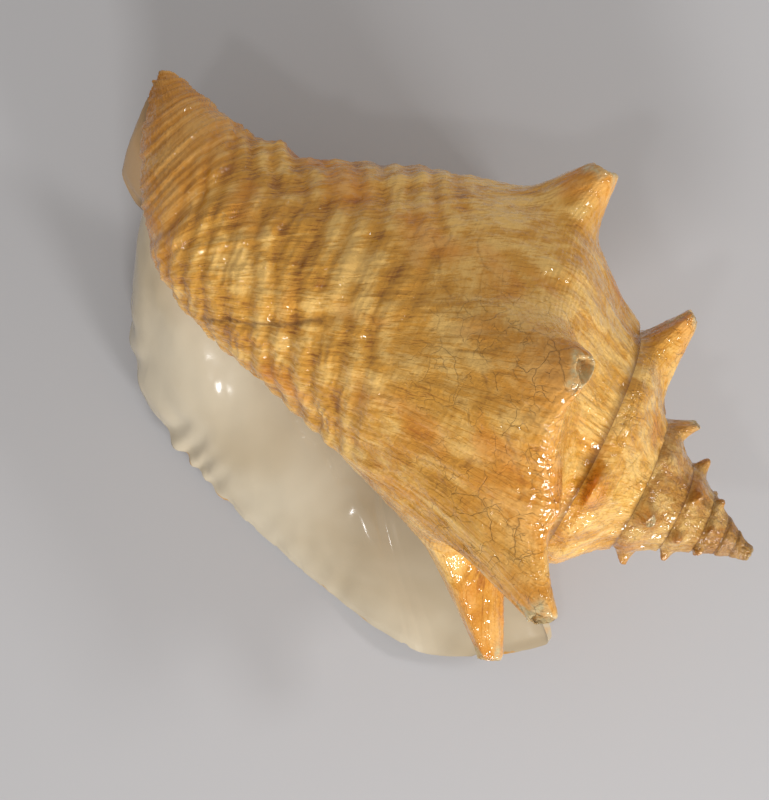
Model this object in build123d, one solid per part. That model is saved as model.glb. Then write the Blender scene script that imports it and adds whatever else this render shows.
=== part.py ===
from build123d import *
import os
import numpy as np

# A large conch shell of the kind blown as a trumpet.  It is lying on its flared lip and on
# its back, the way it rests on a table.
#
# The shell is first worked out in its own growth frame and turned into the part's frame at
# the end.  In the growth frame a point is (w, r, a):
#   w = distance along the coiling axis, from the cut apex towards the siphonal canal
#   r = distance out from the axis
#   a = angle of growth in degrees; the shell was built in the direction of growing a
# One turn is 360 degrees.  a = 0 on the last (body) whorl faces straight up at rest, 90 faces
# +Y and 180 faces the table.  The lip leaves the spiral at a = LIP_ROOT.

# ---------------------------------------------------------------- driving sizes (mm, degrees)
SHELL_LENGTH = 226.0          # apex to the tip of the siphonal canal, along the axis
BODY_RADIUS = 60.0            # shoulder of the body whorl, between spines, at a = 90
RADIUS_PER_TURN = 1.493       # how much wider each whorl is than the one before
YOUNG_RADIUS = 0.85           # the young whorls are this much narrower than that spiral
HEIGHT_PER_TURN = 1.42        # how much further down the axis each seam is
APEX_CUT = 4.8                # length of the sharp point that is missing at the apex
SEAM_HEIGHT = 69.7            # seam of the body whorl at a = 90, from the uncut point
SHOULDER_HEIGHT = 100.0       # shoulder of the body whorl at a = 90, from the cut apex
SHOULDER_SLOPE = 0.10         # how fast the shoulder moves down before a = 90, mm per degree
SHOULDER_LATE = 8.0           # how far it moves down after that
SHOULDER_PLACE = 0.62         # where the shoulder of a spire whorl is between its two seams
INNER_FOOT = 2.6              # how far down the inner whorls reach, in seam heights
INNER_FOOT_EXTRA = 25.0       # further reach of the second whorl
YOUNG_FOOT = 1.95             # the same for the youngest whorls, counted from the uncut point
FOOT_BLEND = 1.0              # how softly the one takes over from the other
LIP_ROOT = 205.0              # angle where the lip leaves the spiral
APERTURE_EDGE = -105.0        # angle of the body wall that faces the lip across the aperture
EARLIEST = -2430.0            # angle where the first hollow whorl starts
WALL_BASE = 0.5               # wall thickness of the smallest whorl
WALL_PER_RADIUS = 0.045       # wall thickness gained for each mm of whorl radius
LIP_NOTCH = 0.925             # share of the lip root where the notch beside the canal is
LIP_THICKNESS = 4.0           # thickness of the flared lip
LIP_EDGE_SHARE = 0.55         # share of that thickness left at the rim
FIT = 0.15                    # room left between a whorl's seam and the whorl it lies on
COLUMELLA_TOP = 1.2           # radius of the central pillar at the apex end
COLUMELLA_FOOT = 3.6          # radius of the central pillar at the canal end
COLUMELLA_START = 7.0         # where along the axis the pillar starts
CANAL_BEND = 26.0             # how far the canal tip is bent sideways
CANAL_START = 180.0           # where along the axis the canal starts to bend
SPIRE_LEAN = 1.3              # how far the spire leans off the axis
LEAN_HEIGHT = 42.0            # where along the axis it leans most
LEAN_SPAN = 20.0              # how far along the axis the lean fades out
AXIS_HEIGHT = 67.945          # coiling axis above the table at rest
ORIGIN_W = 113.276            # the part's origin along the axis
ORIGIN_SIDE = -6.85           # the part's origin across the axis
SHOULDER_U = 0.20             # share of the generating curve that is the sloping ramp
CANAL_U = 0.80                # share of the generating curve above the siphonal canal
BLOW_HOLE_RADIUS = 1.1        # hole through the cut apex
APEX_RIM_WALL = 0.7           # wall of the ring around that hole
APEX_RIM_LENGTH = 1.2         # length of that ring
CALLUS = 0.7                  # thickness of the glaze laid on the wall inside the aperture

# Shape of the wall below the shoulder: share of the way down, share of the shoulder radius.
DOWN = [0.0, 0.12, 0.24, 0.36, 0.48, 0.60, 0.72, 0.82, 0.90, 0.96, 1.0]
OLD_SIDE = [1.0, 0.91, 0.81, 0.715, 0.655, 0.59, 0.505, 0.42, 0.305, 0.16, 0.0]
NEW_SIDE = [1.0, 0.953, 0.858, 0.753, 0.615, 0.48, 0.405, 0.32, 0.225, 0.115, 0.0]

# Rim of the flared lip, from its rear lobe to the canal: share of the lip root, then how far
# the rim lies from the root there, down the axis, to the side and upwards
RIM = [
    (0.000, -32.3, -27.0, 5.5),
    (0.040, -50.2, -36.7, -3.1),
    (0.120, -48.4, -48.9, -3.0),
    (0.220, -46.0, -55.9, -0.9),
    (0.350, -35.7, -57.4, -9.9),
    (0.480, -29.2, -57.7, -19.1),
    (0.600, -17.3, -56.6, -29.1),
    (0.700, -14.7, -54.9, -35.6),
    (0.780, -9.6, -49.6, -37.2),
    (0.840, -8.2, -46.4, -36.9),
    (0.890, -8.2, -39.1, -34.7),
    (0.925, -13.0, -33.7, -31.2),
    (0.955, -11.6, -25.4, -26.2),
    (0.980, -3.4, -27.2, -21.5),
    (1.000, -1.1, -21.3, -16.6),
]

# Shoulder spines: angle, place on the generating curve, how far the tip leans down the axis,
# height of the tip off the wall, half width along the growth, half width towards the apex,
# half width downwards, fullness
SPINES = [
    (-95.0, 0.18, -29.0, 21.2, 9.0, 8.5, 13.0, 2.2),
    (-46.0, 0.18, -36.0, 14.5, 10.5, 9.5, 13.0, 2.6),
    (10.5, 0.20, -13.6, 24.9, 11.5, 11.0, 15.0, 2.0),
    (76.0, 0.22, -3.3, 16.1, 12.0, 10.0, 13.0, 1.8),
    (142.0, 0.22, -3.2, 21.1, 13.0, 11.0, 15.0, 1.8),
    (192.0, 0.22, -8.4, 3.0, 12.0, 10.0, 14.0, 1.7),
    (-284.0, 0.17, -1.9, 14.6, 8.0, 6.5, 9.0, 1.8),
    (-225.0, 0.17, -2.0, 10.0, 6.5, 7.0, 8.0, 1.8),
    (-172.0, 0.16, -6.0, 7.0, 6.5, 7.0, 8.0, 1.8),
    (-345.0, 0.18, 0.4, 7.5, 8.0, 6.0, 6.0, 2.2),
    (-405.0, 0.17, -3.8, 7.4, 7.5, 5.0, 6.0, 2.0),
    (-455.0, 0.17, -3.3, 2.6, 6.0, 5.0, 6.0, 2.0),
]
KNOB_HEIGHT = 5.5             # height of the spire knobs on the third whorl
KNOB_WIDTH = 4.6              # half width of those knobs
KNOB_STEP = 45.0              # angle from one spire knob to the next
KNOB_FIRST = -505.0
KNOB_LAST = -2000.0


# ---------------------------------------------------------------- curves
def ease(x):
    x = np.clip(x, 0.0, 1.0)
    return x * x * (3.0 - 2.0 * x)


def through(xs, ys, x):
    """Smooth curve through the stations (xs, ys): cubic pieces, slopes by harmonic mean."""
    xs = np.asarray(xs, float)
    ys = np.asarray(ys, float)
    h = np.diff(xs)
    d = np.diff(ys) / h
    m = np.zeros(len(xs))
    w1 = 2.0 * h[1:] + h[:-1]
    w2 = h[1:] + 2.0 * h[:-1]
    same = d[1:] * d[:-1] > 0.0
    bottom = np.where(same, w1 / np.where(same, d[:-1], 1.0) + w2 / np.where(same, d[1:], 1.0), 1.0)
    m[1:-1] = np.where(same, (w1 + w2) / bottom, 0.0)
    m[0] = d[0]
    m[-1] = d[-1]
    x = np.clip(x, xs[0], xs[-1])
    k = np.clip(np.searchsorted(xs, x, side="right") - 1, 0, len(h) - 1)
    t = (x - xs[k]) / h[k]
    a = ys[k] * (1.0 + 2.0 * t) * (1.0 - t) ** 2 + m[k] * h[k] * t * (1.0 - t) ** 2
    b = ys[k + 1] * t * t * (3.0 - 2.0 * t) + m[k + 1] * h[k] * t * t * (t - 1.0)
    return a + b


def seam_w(a):
    """Where along the axis the upper seam of the whorl is."""
    return SEAM_HEIGHT * HEIGHT_PER_TURN ** ((a - 90.0) / 360.0) - APEX_CUT


def shoulder_r(a):
    """Radius of the shoulder: a steady spiral, with the adult whorls a little wider."""
    spiral = BODY_RADIUS * RADIUS_PER_TURN ** ((a - 90.0) / 360.0)
    return spiral * (YOUNG_RADIUS + (1.0 - YOUNG_RADIUS) * ease((a + 620.0) / 160.0))


def shoulder_w(a):
    """Where along the axis the shoulder is."""
    spire = seam_w(a) + SHOULDER_PLACE * (seam_w(a + 360.0) - seam_w(a))
    early = SHOULDER_HEIGHT + SHOULDER_SLOPE * (a - 90.0)
    late = SHOULDER_HEIGHT + SHOULDER_LATE * ease((a - 90.0) / 120.0)
    body = np.where(a > 90.0, late, early)
    return spire + (body - spire) * ease((a + 300.0) / 210.0)


def foot_w(a):
    """Where along the axis the wall ends on the columella."""
    grown = INNER_FOOT * seam_w(a) + INNER_FOOT_EXTRA * np.exp(-(((a + 300.0) / 400.0) ** 2))
    young = YOUNG_FOOT * (seam_w(a) + APEX_CUT) - APEX_CUT
    spire = 0.5 * (grown + young + np.hypot(grown - young, FOOT_BLEND))
    return spire + (SHELL_LENGTH - spire) * ease((a + 330.0) / 260.0)


def pillar_r(w):
    """Radius of the columella."""
    return COLUMELLA_TOP + (COLUMELLA_FOOT - COLUMELLA_TOP) * w / SHELL_LENGTH


def side_shift(w):
    """Sideways run of the coiling axis: a slight lean of the spire and the bent canal."""
    bend = np.clip((w - CANAL_START) / (SHELL_LENGTH - CANAL_START), 0.0, 2.0)
    return CANAL_BEND * bend**2 - SPIRE_LEAN * np.exp(-(((w - LEAN_HEIGHT) / LEAN_SPAN) ** 2))


def wall_shape(a, z):
    """Share of the shoulder radius left at share z of the way down to the foot."""
    newer = ease((a + 90.0) / 180.0)
    older = ease((-110.0 - a) / 140.0)
    mix = np.where(a > -90.0, newer, older)
    return through(DOWN, OLD_SIDE, z) * (1.0 - mix) + through(DOWN, NEW_SIDE, z) * mix


def lower_wall(a, z):
    """Radius of the wall below its shoulder; it ends on the columella."""
    foot_r = pillar_r(foot_w(a)) + FIT
    return foot_r + (shoulder_r(a) - foot_r) * wall_shape(a, z)


def wall_at(a, w):
    """Radius of the wall at distance w along the axis (below its shoulder)."""
    z = np.clip((w - shoulder_w(a)) / (foot_w(a) - shoulder_w(a)), 0.0, 1.0)
    return lower_wall(a, z)


def creased(a, u):
    """Ramp from the seam out to the shoulder, then the wall down to the columella."""
    seam_r = wall_at(a - 360.0, seam_w(a)) + FIT
    k = np.clip(u / SHOULDER_U, 0.0, 1.0)
    z = np.clip((u - SHOULDER_U) / (1.0 - SHOULDER_U), 0.0, 1.0)
    ramp_w = seam_w(a) + (shoulder_w(a) - seam_w(a)) * k
    ramp_r = seam_r + (shoulder_r(a) - seam_r) * (0.62 * k + 1.14 * k**2 - 0.76 * k**3)
    wall_w = shoulder_w(a) + (foot_w(a) - shoulder_w(a)) * z
    on_ramp = u < SHOULDER_U
    return np.where(on_ramp, ramp_w, wall_w), np.where(on_ramp, ramp_r, lower_wall(a, z))


def bare(a, u):
    """Outside of the shell without spines: the creased outline with its shoulder rounded."""
    step = np.minimum(np.minimum(0.025, u), 1.0 - u)
    w0, r0 = creased(a, u)
    w1, r1 = creased(a, u - step)
    w2, r2 = creased(a, u + step)
    return 0.4 * w0 + 0.3 * (w1 + w2), 0.4 * r0 + 0.3 * (r1 + r2)


def knobs():
    """The row of small knobs on the older whorls, in the form of the spine list."""
    rows = []
    count = 0
    a = KNOB_FIRST
    while a > KNOB_LAST:
        size = HEIGHT_PER_TURN ** ((a + 450.0) / 360.0)
        height = KNOB_HEIGHT * size * (0.7 if count % 2 == 0 else 1.0)
        width = KNOB_WIDTH * size
        rows.append((a, 0.17, -0.2 * height, height, width, 0.8 * width, width, 2.0))
        a -= KNOB_STEP
        count += 1
    return rows


ALL_SPINES = SPINES + knobs()


def outside(a, u):
    """Outside of the shell with its spines.  Each spine draws the wall out to its tip."""
    w, r = bare(a, u)
    w0 = w
    covered = ease((seam_w(a + 360.0) - w0) / (0.06 * seam_w(a + 360.0)))
    covered = covered + (1.0 - covered) * ease((a + 360.0 - LIP_ROOT) / 10.0)
    near_seam = ease(u / 0.07)
    for angle, at, lean, height, along, up, down, full in ALL_SPINES:
        base_w, base_r = bare(np.array(angle), np.array(at))
        across = np.radians(a - angle) * base_r / along
        drop = (w0 - base_w) / np.where(w0 < base_w, up, down)
        pull = np.exp(-((1.6 * np.sqrt(across**2 + drop**2)) ** full))
        pull = np.where(np.abs(a - angle) < 60.0, pull, 0.0) * covered * near_seam
        w = w + lean * pull
        r = r + height * pull
    return w, r


def wall_thickness(a):
    return WALL_BASE + WALL_PER_RADIUS * shoulder_r(a)


def inside(a, u):
    """Inner face: the bare outside moved in by the wall thickness, resting on what it meets."""
    w1, r1 = bare(a, np.clip(u - 0.035, 0.0, 1.0))
    w2, r2 = bare(a, np.clip(u + 0.035, 0.0, 1.0))
    w, r = bare(a, u)
    length = np.hypot(w2 - w1, r2 - r1)
    t = wall_thickness(a)
    w_in = np.minimum(w + t * (r2 - r1) / length, foot_w(a))
    r_in = r - t * (w2 - w1) / length
    floor = np.maximum(wall_at(a - 360.0, w_in), pillar_r(w_in)) + FIT
    soft = 0.2 * t
    r_in = 0.5 * (r_in + floor + np.sqrt((r_in - floor) ** 2 + soft**2))
    return w_in, r_in


def place(w, r, a):
    """Growth frame to the part's frame, in mm."""
    up = r * np.cos(np.radians(a)) + AXIS_HEIGHT
    side = r * np.sin(np.radians(a)) + side_shift(w) - ORIGIN_SIDE
    return np.stack([ORIGIN_W - w, side, up], axis=-1)


def grid(surface, a0, a1, u0, u1, na, nu):
    """Points of a surface over a patch of the shell: rows along the growth, columns along u."""
    a = np.linspace(a0, a1, na)[:, None] + np.zeros((1, nu))
    u = np.linspace(u0, u1, nu)[None, :] + np.zeros((na, 1))
    w, r = surface(a, u)
    return place(w, r, a)


def skin(points):
    """Smooth face through a grid of points."""
    rows = [[Vector(*p) for p in row] for row in points.tolist()]
    return Face.make_surface_from_array_of_points(rows, tol=0.01, min_deg=3, max_deg=3)


def edge_near(face, p, q):
    """The edge of a face that runs between the points p and q."""
    def miss(e):
        s, t = e.position_at(0), e.position_at(1)
        return min((s - p).length + (t - q).length, (s - q).length + (t - p).length)
    return min(face.edges(), key=miss)


def slab(outer, inner):
    """Solid between two grids of points of the same size."""
    top = skin(outer)
    bottom = skin(inner)
    faces = [top, bottom]
    corner = [(0, 0), (0, -1), (-1, -1), (-1, 0)]
    for k in range(4):
        i, j = corner[k], corner[(k + 1) % 4]
        e = edge_near(top, Vector(*outer[i]), Vector(*outer[j]))
        f = edge_near(bottom, Vector(*inner[i]), Vector(*inner[j]))
        faces.append(Face.make_surface_from_curves(e, f))
    body = Solid(Shell(faces))
    return body if body.volume > 0 else Solid(Shell([-f for f in faces]))


# ---------------------------------------------------------------- the flared lip
def unit(v):
    return v / np.linalg.norm(v, axis=-1, keepdims=True)


def rim(u):
    """Edge of the lip at share u of its root."""
    column = list(zip(*RIM))
    down = through(column[0], column[1], u)
    side = through(column[0], column[2], u)
    up = through(column[0], column[3], u)
    root_a = LIP_ROOT + 0.0 * u
    return place(*bare(root_a, u), root_a) + np.stack([-down, side, up], axis=-1)


def lip_under(v, u):
    """Under (outer) side of the lip: leaves the spiral along its growth, ends on the rim."""
    root_a = LIP_ROOT + 0.0 * u
    p0 = place(*outside(root_a, u), root_a)
    back = place(*outside(root_a - 0.5, u), root_a - 0.5)
    start = unit(p0 - back)
    p1 = rim(u)
    reach = np.linalg.norm(p1 - p0, axis=-1, keepdims=True)
    end = unit((p1 - p0) / reach + np.array([0.0, 0.0, -0.25]))
    t = v[..., None]
    a = (2 * t**3 - 3 * t**2 + 1) * p0 + (t**3 - 2 * t**2 + t) * 0.9 * reach * start
    b = (3 * t**2 - 2 * t**3) * p1 + (t**3 - t**2) * 0.9 * reach * end
    return a + b


def lip_over(v, u):
    """Upper (inner, glossy) side of the lip, its thickness above the under side."""
    d = 0.02
    along = lip_under(np.clip(v + d, 0, 1), u) - lip_under(np.clip(v - d, 0, 1), u)
    across = lip_under(v, np.clip(u + d, 0, 1)) - lip_under(v, np.clip(u - d, 0, 1))
    normal = unit(np.cross(across, along))
    thick = LIP_THICKNESS * (1.0 - (1.0 - LIP_EDGE_SHARE) * ease((v - 0.6) / 0.4))
    thick = thick * (0.5 + 0.5 * ease((1.0 - u) / 0.15))
    root_a = LIP_ROOT + 0.0 * u
    step = place(*inside(root_a, u), root_a) - place(*outside(root_a, u), root_a)
    blend = ease(v / 0.30)[..., None]
    return lip_under(v, u) + step * (1.0 - blend) + normal * thick[..., None] * blend


def lip_grid(surface, u0, u1, nv, nu):
    v = np.linspace(0.0, 1.0, nv)[:, None] + np.zeros((1, nu))
    u = np.linspace(u0, u1, nu)[None, :] + np.zeros((nv, 1))
    return surface(v, u)


# ---------------------------------------------------------------- the pieces
def wall(a0, a1, u0, u1):
    """A piece of the coiled wall between two growth angles."""
    na = max(8, int(abs(a1 - a0) / 3.6) + 1)
    nu = max(12, int(58 * (u1 - u0)))
    return slab(grid(outside, a0, a1, u0, u1, na, nu), grid(inside, a0, a1, u0, u1, na, nu))


def glazed(a, u):
    """Surface of the glaze that lies on the wall inside the aperture."""
    w, r = outside(a, u)
    middle = ease((u - 0.26) / 0.05) * ease((0.78 - u) / 0.05)
    sides = ease((a + 165.0) / 8.0) * ease((-101.0 - a) / 8.0)
    return w, r + FIT + CALLUS * (0.25 + 0.75 * middle * sides)


def glaze_bed(a, u):
    w, r = outside(a, u)
    return w, r + FIT


def callus():
    """Thin glaze laid over the wall opposite the lip."""
    size = (-165.0, -101.0, 0.26, 0.78, 20, 30)
    return slab(grid(glazed, *size), grid(glaze_bed, *size))


def pillar():
    """The columella: round pillar that the whorls wind about, bent with the canal."""
    rings = []
    steps = [0.0, 0.08, 0.16, 0.24, 0.38, 0.56, 0.74, 0.82, 0.86, 0.90, 0.94, 0.97, 0.995]
    for step in steps:
        w = COLUMELLA_START + (SHELL_LENGTH - COLUMELLA_START) * step
        middle = Vector(ORIGIN_W - w, float(side_shift(w)) - ORIGIN_SIDE, AXIS_HEIGHT)
        ring = Plane(origin=middle, x_dir=(0, 1, 0), z_dir=(-1, 0, 0))
        rings.append(Wire([Edge.make_circle(float(pillar_r(w)), ring)]))
    return Solid.make_loft(rings)


def apex_rim():
    """Ring of the cut apex with the hole that the breath goes in through."""
    middle = Vector(ORIGIN_W, float(side_shift(0.0)) - ORIGIN_SIDE, AXIS_HEIGHT)
    ring = Plane(origin=middle, x_dir=(0, 1, 0), z_dir=(-1, 0, 0))
    outer = Solid.make_cylinder(BLOW_HOLE_RADIUS + APEX_RIM_WALL, APEX_RIM_LENGTH, ring)
    hole = Solid.make_cylinder(BLOW_HOLE_RADIUS, 3.0 * APEX_RIM_LENGTH, ring.offset(-APEX_RIM_LENGTH))
    return outer.cut(hole)


def lip(u0, u1):
    """A piece of the flared lip."""
    nu = max(14, int(70 * (u1 - u0)))
    return slab(lip_grid(lip_under, u0, u1, 22, nu), lip_grid(lip_over, u0, u1, 22, nu))


PIECES = {
    "spire_tip_whorls": lambda: wall(EARLIEST, -1890.0, 0.0, 1.0),
    "spire_whorl_six": lambda: wall(-1890.0, -1530.0, 0.0, 1.0),
    "spire_whorl_five": lambda: wall(-1530.0, -1170.0, 0.0, 1.0),
    "spire_whorl_four": lambda: wall(-1170.0, -810.0, 0.0, 1.0),
    "spire_whorl_three_rear": lambda: wall(-810.0, -630.0, 0.0, 1.0),
    "spire_whorl_three_front": lambda: wall(-630.0, -480.0, 0.0, 1.0),
    "second_whorl_right": lambda: wall(-480.0, -375.0, 0.0, 1.0),
    "second_whorl_top": lambda: wall(-375.0, -315.0, 0.0, 1.0),
    "second_whorl_spine_left": lambda: wall(-315.0, -252.0, 0.0, 1.0),
    "second_whorl_spine_back": lambda: wall(-252.0, -195.0, 0.0, 1.0),
    "inner_wall_behind_aperture": lambda: wall(-195.0, APERTURE_EDGE, 0.0, CANAL_U),
    "body_wall_spine_one": lambda: wall(APERTURE_EDGE, -71.0, 0.0, CANAL_U),
    "body_wall_spine_two": lambda: wall(-71.0, -20.0, 0.0, CANAL_U),
    "body_wall_spine_three": lambda: wall(-20.0, 42.0, 0.0, CANAL_U),
    "body_wall_spine_four": lambda: wall(42.0, 108.0, 0.0, CANAL_U),
    "body_wall_spine_five": lambda: wall(108.0, 168.0, 0.0, CANAL_U),
    "body_wall_spine_six": lambda: wall(168.0, LIP_ROOT, 0.0, CANAL_U),
    "canal_wall_inner": lambda: wall(-195.0, -71.0, CANAL_U, 1.0),
    "canal_wall_top": lambda: wall(-71.0, 60.0, CANAL_U, 1.0),
    "canal_wall_under": lambda: wall(60.0, LIP_ROOT, CANAL_U, 1.0),
    "lip_rear_lobe": lambda: lip(0.0, 0.22),
    "lip_middle": lambda: lip(0.22, 0.60),
    "lip_front": lambda: lip(0.60, LIP_NOTCH),
    "lip_canal_lobe": lambda: lip(LIP_NOTCH, 1.0),
    "aperture_glaze": callus,
    "columella": pillar,
    "apex_rim": apex_rim,
}


def main():
    os.makedirs("parts", exist_ok=True)
    for name, make in PIECES.items():
        export_step(make(), os.path.join("parts", name + ".step"))
        print(name)


main()
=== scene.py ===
"""A large varnished conch shell of the kind blown as a trumpet, lying on its flared lip.

The shell is worked out in its own growth frame.  A point is (w, r, a): w is the distance along
the coiling axis from the cut apex towards the canal, r the distance out from the axis, and a the
angle of growth in degrees.  u is the share of the way down the generating curve, from the upper
seam (0) over the shoulder (SHOULDER_U) to the tip of the canal (1).  Sizes are in millimetres and
degrees up to the moment a mesh is made, and meshes are in metres.
"""

import math

import bpy
import numpy as np
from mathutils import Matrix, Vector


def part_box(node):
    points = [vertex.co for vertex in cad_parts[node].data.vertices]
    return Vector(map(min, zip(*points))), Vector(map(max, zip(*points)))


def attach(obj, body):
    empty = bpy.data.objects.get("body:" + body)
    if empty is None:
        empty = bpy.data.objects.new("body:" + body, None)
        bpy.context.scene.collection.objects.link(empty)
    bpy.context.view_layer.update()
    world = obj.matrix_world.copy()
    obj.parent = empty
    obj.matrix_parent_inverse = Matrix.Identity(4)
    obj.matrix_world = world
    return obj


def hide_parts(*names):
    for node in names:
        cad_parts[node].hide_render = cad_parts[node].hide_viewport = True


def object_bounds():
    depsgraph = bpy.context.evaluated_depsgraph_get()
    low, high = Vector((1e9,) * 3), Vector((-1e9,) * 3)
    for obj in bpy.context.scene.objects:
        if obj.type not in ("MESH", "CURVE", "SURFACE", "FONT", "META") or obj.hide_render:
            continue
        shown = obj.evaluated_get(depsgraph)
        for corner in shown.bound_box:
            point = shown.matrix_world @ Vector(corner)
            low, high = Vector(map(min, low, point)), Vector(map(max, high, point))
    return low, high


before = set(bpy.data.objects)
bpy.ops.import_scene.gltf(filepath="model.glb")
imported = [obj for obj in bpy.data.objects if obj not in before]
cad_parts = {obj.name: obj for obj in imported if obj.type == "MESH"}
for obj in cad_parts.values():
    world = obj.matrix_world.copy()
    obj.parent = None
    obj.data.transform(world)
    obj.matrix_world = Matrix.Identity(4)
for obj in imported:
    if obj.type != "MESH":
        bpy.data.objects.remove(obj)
cad_low, cad_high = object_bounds()

# ------------------------------------------------------------------ sizes of the shell
SHELL_LENGTH = 226.0          # apex to the tip of the siphonal canal, along the axis
BODY_RADIUS = 60.0            # shoulder of the body whorl, between spines, at a = 90
RADIUS_PER_TURN = 1.493       # how much wider each whorl is than the one before
YOUNG_RADIUS = 0.85           # the young whorls are this much narrower than that spiral
HEIGHT_PER_TURN = 1.42        # how much further down the axis each seam is
APEX_CUT = 4.8                # length of the sharp point that is missing at the apex
SEAM_HEIGHT = 69.7            # seam of the body whorl at a = 90, from the uncut point
SHOULDER_HEIGHT = 100.0       # shoulder of the body whorl at a = 90
SHOULDER_SLOPE = 0.10         # how fast the shoulder moves down before a = 90, mm per degree
SHOULDER_LATE = 8.0           # how far it moves down after that
SHOULDER_PLACE = 0.80         # where the shoulder of a spire whorl is between its two seams
INNER_FOOT = 2.6              # how far down the inner whorls reach, in seam heights
INNER_FOOT_EXTRA = 25.0       # further reach of the second whorl
YOUNG_FOOT = 1.95             # the same for the youngest whorls, counted from the uncut point
FOOT_BLEND = 1.0              # how softly the one takes over from the other
LIP_ROOT = 205.0              # angle where the lip leaves the spiral
APERTURE_EDGE = -105.0        # angle of the body wall that faces the lip across the aperture
EARLIEST = -2430.0            # angle where the first hollow whorl starts
WALL_BASE = 0.5               # wall thickness of the smallest whorl
WALL_PER_RADIUS = 0.045       # wall thickness gained for each mm of whorl radius
LIP_NOTCH = 0.925             # share of the lip root where the notch beside the canal is
LIP_THICKNESS = 4.0           # thickness of the flared lip
LIP_EDGE_SHARE = 0.55         # share of that thickness left at the rim
FIT = 0.15                    # room left between a whorl's seam and the whorl it lies on
COLUMELLA_TOP = 1.2           # radius of the central pillar at the apex end
COLUMELLA_FOOT = 3.6          # radius of the central pillar at the canal end
CANAL_BEND = 26.0             # how far the canal tip is bent sideways
CANAL_START = 180.0           # where along the axis the canal starts to bend
SPIRE_LEAN = 1.3              # how far the spire leans off the axis
LEAN_HEIGHT = 42.0            # where along the axis it leans most
LEAN_SPAN = 20.0              # how far along the axis the lean fades out
SHOULDER_U = 0.20             # share of the generating curve that is the sloping ramp
CANAL_U = 0.80                # share of the generating curve above the siphonal canal
CALLUS = 0.7                  # thickness of the glaze laid on the wall inside the aperture

# Shape of the wall below the shoulder: share of the way down, share of the shoulder radius.
DOWN = [0.0, 0.12, 0.24, 0.36, 0.48, 0.60, 0.72, 0.82, 0.90, 0.96, 1.0]
OLD_SIDE = [1.0, 0.91, 0.81, 0.715, 0.655, 0.59, 0.505, 0.42, 0.305, 0.16, 0.0]
NEW_SIDE = [1.0, 0.953, 0.858, 0.753, 0.615, 0.48, 0.405, 0.32, 0.225, 0.115, 0.0]

# Rim of the flared lip, from its rear lobe to the canal: share of the lip root, then how far
# the rim lies from the root there, down the axis, to the side and upwards
RIM = [
    (0.000, -32.3, -27.0, 5.5),
    (0.040, -50.2, -36.7, -3.1),
    (0.120, -48.4, -48.9, -3.0),
    (0.220, -46.0, -55.9, -0.9),
    (0.350, -35.7, -57.4, -9.9),
    (0.480, -29.2, -57.7, -19.1),
    (0.600, -17.3, -56.6, -29.1),
    (0.700, -14.7, -54.9, -35.6),
    (0.780, -9.6, -49.9, -37.2),
    (0.840, -7.9, -46.4, -36.9),
    (0.890, -6.8, -36.4, -34.7),
    (0.925, -10.5, -28.2, -31.2),
    (0.952, -13.6, -22.2, -26.5),
    (0.966, -2.5, -22.3, -24.0),
    (0.984, 1.8, -21.6, -21.0),
    (1.000, -1.5, -8.0, -11.0),
]

# Shoulder spines: angle, place on the generating curve, how far the tip leans down the axis,
# height of the tip off the wall, half width towards younger growth, towards older growth,
# towards the apex and downwards, fullness, share of the height where the tip is broken off
# (1 = whole), depth of the hollow in the broken end
SPINES = [
    (-95.0, 0.18, -29.0, 21.2, 10.0, 13.0, 18.0, 9.5, 2.3, 0.90, 4.0),
    (-46.0, 0.18, -31.0, 14.0, 11.0, 19.0, 18.0, 12.0, 1.7, 0.86, 5.0),
    (-20.0, 0.18, -20.0, 4.0, 25.0, 27.0, 22.0, 22.0, 1.6, 1.0, 0.0),
    (12.0, 0.20, -12.5, 23.2, 27.0, 11.0, 12.0, 24.0, 1.35, 0.88, 2.4),
    (76.0, 0.22, -3.3, 16.1, 14.0, 14.0, 12.0, 16.0, 2.3, 0.86, 1.5),
    (142.0, 0.22, -3.2, 18.6, 15.0, 13.0, 12.0, 16.0, 1.9, 0.90, 2.0),
    (192.0, 0.22, -8.4, 3.0, 12.0, 12.0, 10.0, 14.0, 1.7, 1.0, 0.0),
    (-284.0, 0.19, -5.0, 14.6, 9.0, 10.0, 12.0, 9.0, 2.0, 0.90, 1.4),
    (-225.0, 0.19, -5.0, 10.0, 7.0, 7.0, 7.0, 8.0, 1.8, 1.0, 0.0),
    (-172.0, 0.16, -6.0, 7.0, 6.5, 6.5, 7.0, 8.0, 1.8, 1.0, 0.0),
    (-372.0, 0.19, 1.0, 6.5, 9.0, 8.0, 7.0, 6.0, 2.4, 1.0, 0.0),
    (-555.0, 0.19, -3.0, 5.0, 6.0, 6.0, 5.0, 5.0, 2.0, 1.0, 0.0),
    (-645.0, 0.19, -5.0, 4.4, 5.0, 5.0, 4.0, 5.0, 2.4, 0.86, 0.5),
    (-737.0, 0.19, -2.0, 4.6, 4.6, 4.6, 4.2, 4.4, 2.6, 0.86, 0.4),
    (-820.0, 0.19, -3.0, 4.0, 4.4, 4.4, 4.0, 4.4, 2.0, 0.90, 0.4),
    (-905.0, 0.19, -2.5, 3.6, 4.2, 4.2, 3.8, 4.2, 2.0, 1.0, 0.0),
]
KNOB_HEIGHT = 3.6             # height of the first spire knob, on the fourth whorl
KNOB_WIDTH = 3.4              # half width of that knob
KNOB_STEP = 55.0              # angle from one spire knob to the next
KNOB_FIRST = -1000.0
KNOB_LAST = -1700.0


# ------------------------------------------------------------------ curves and noise
def ease(x):
    """Smooth step from 0 to 1 as x goes from 0 to 1: x squared times (3 - 2x)."""
    x = np.clip(x, 0.0, 1.0)
    return x * x * (3.0 - 2.0 * x)


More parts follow.
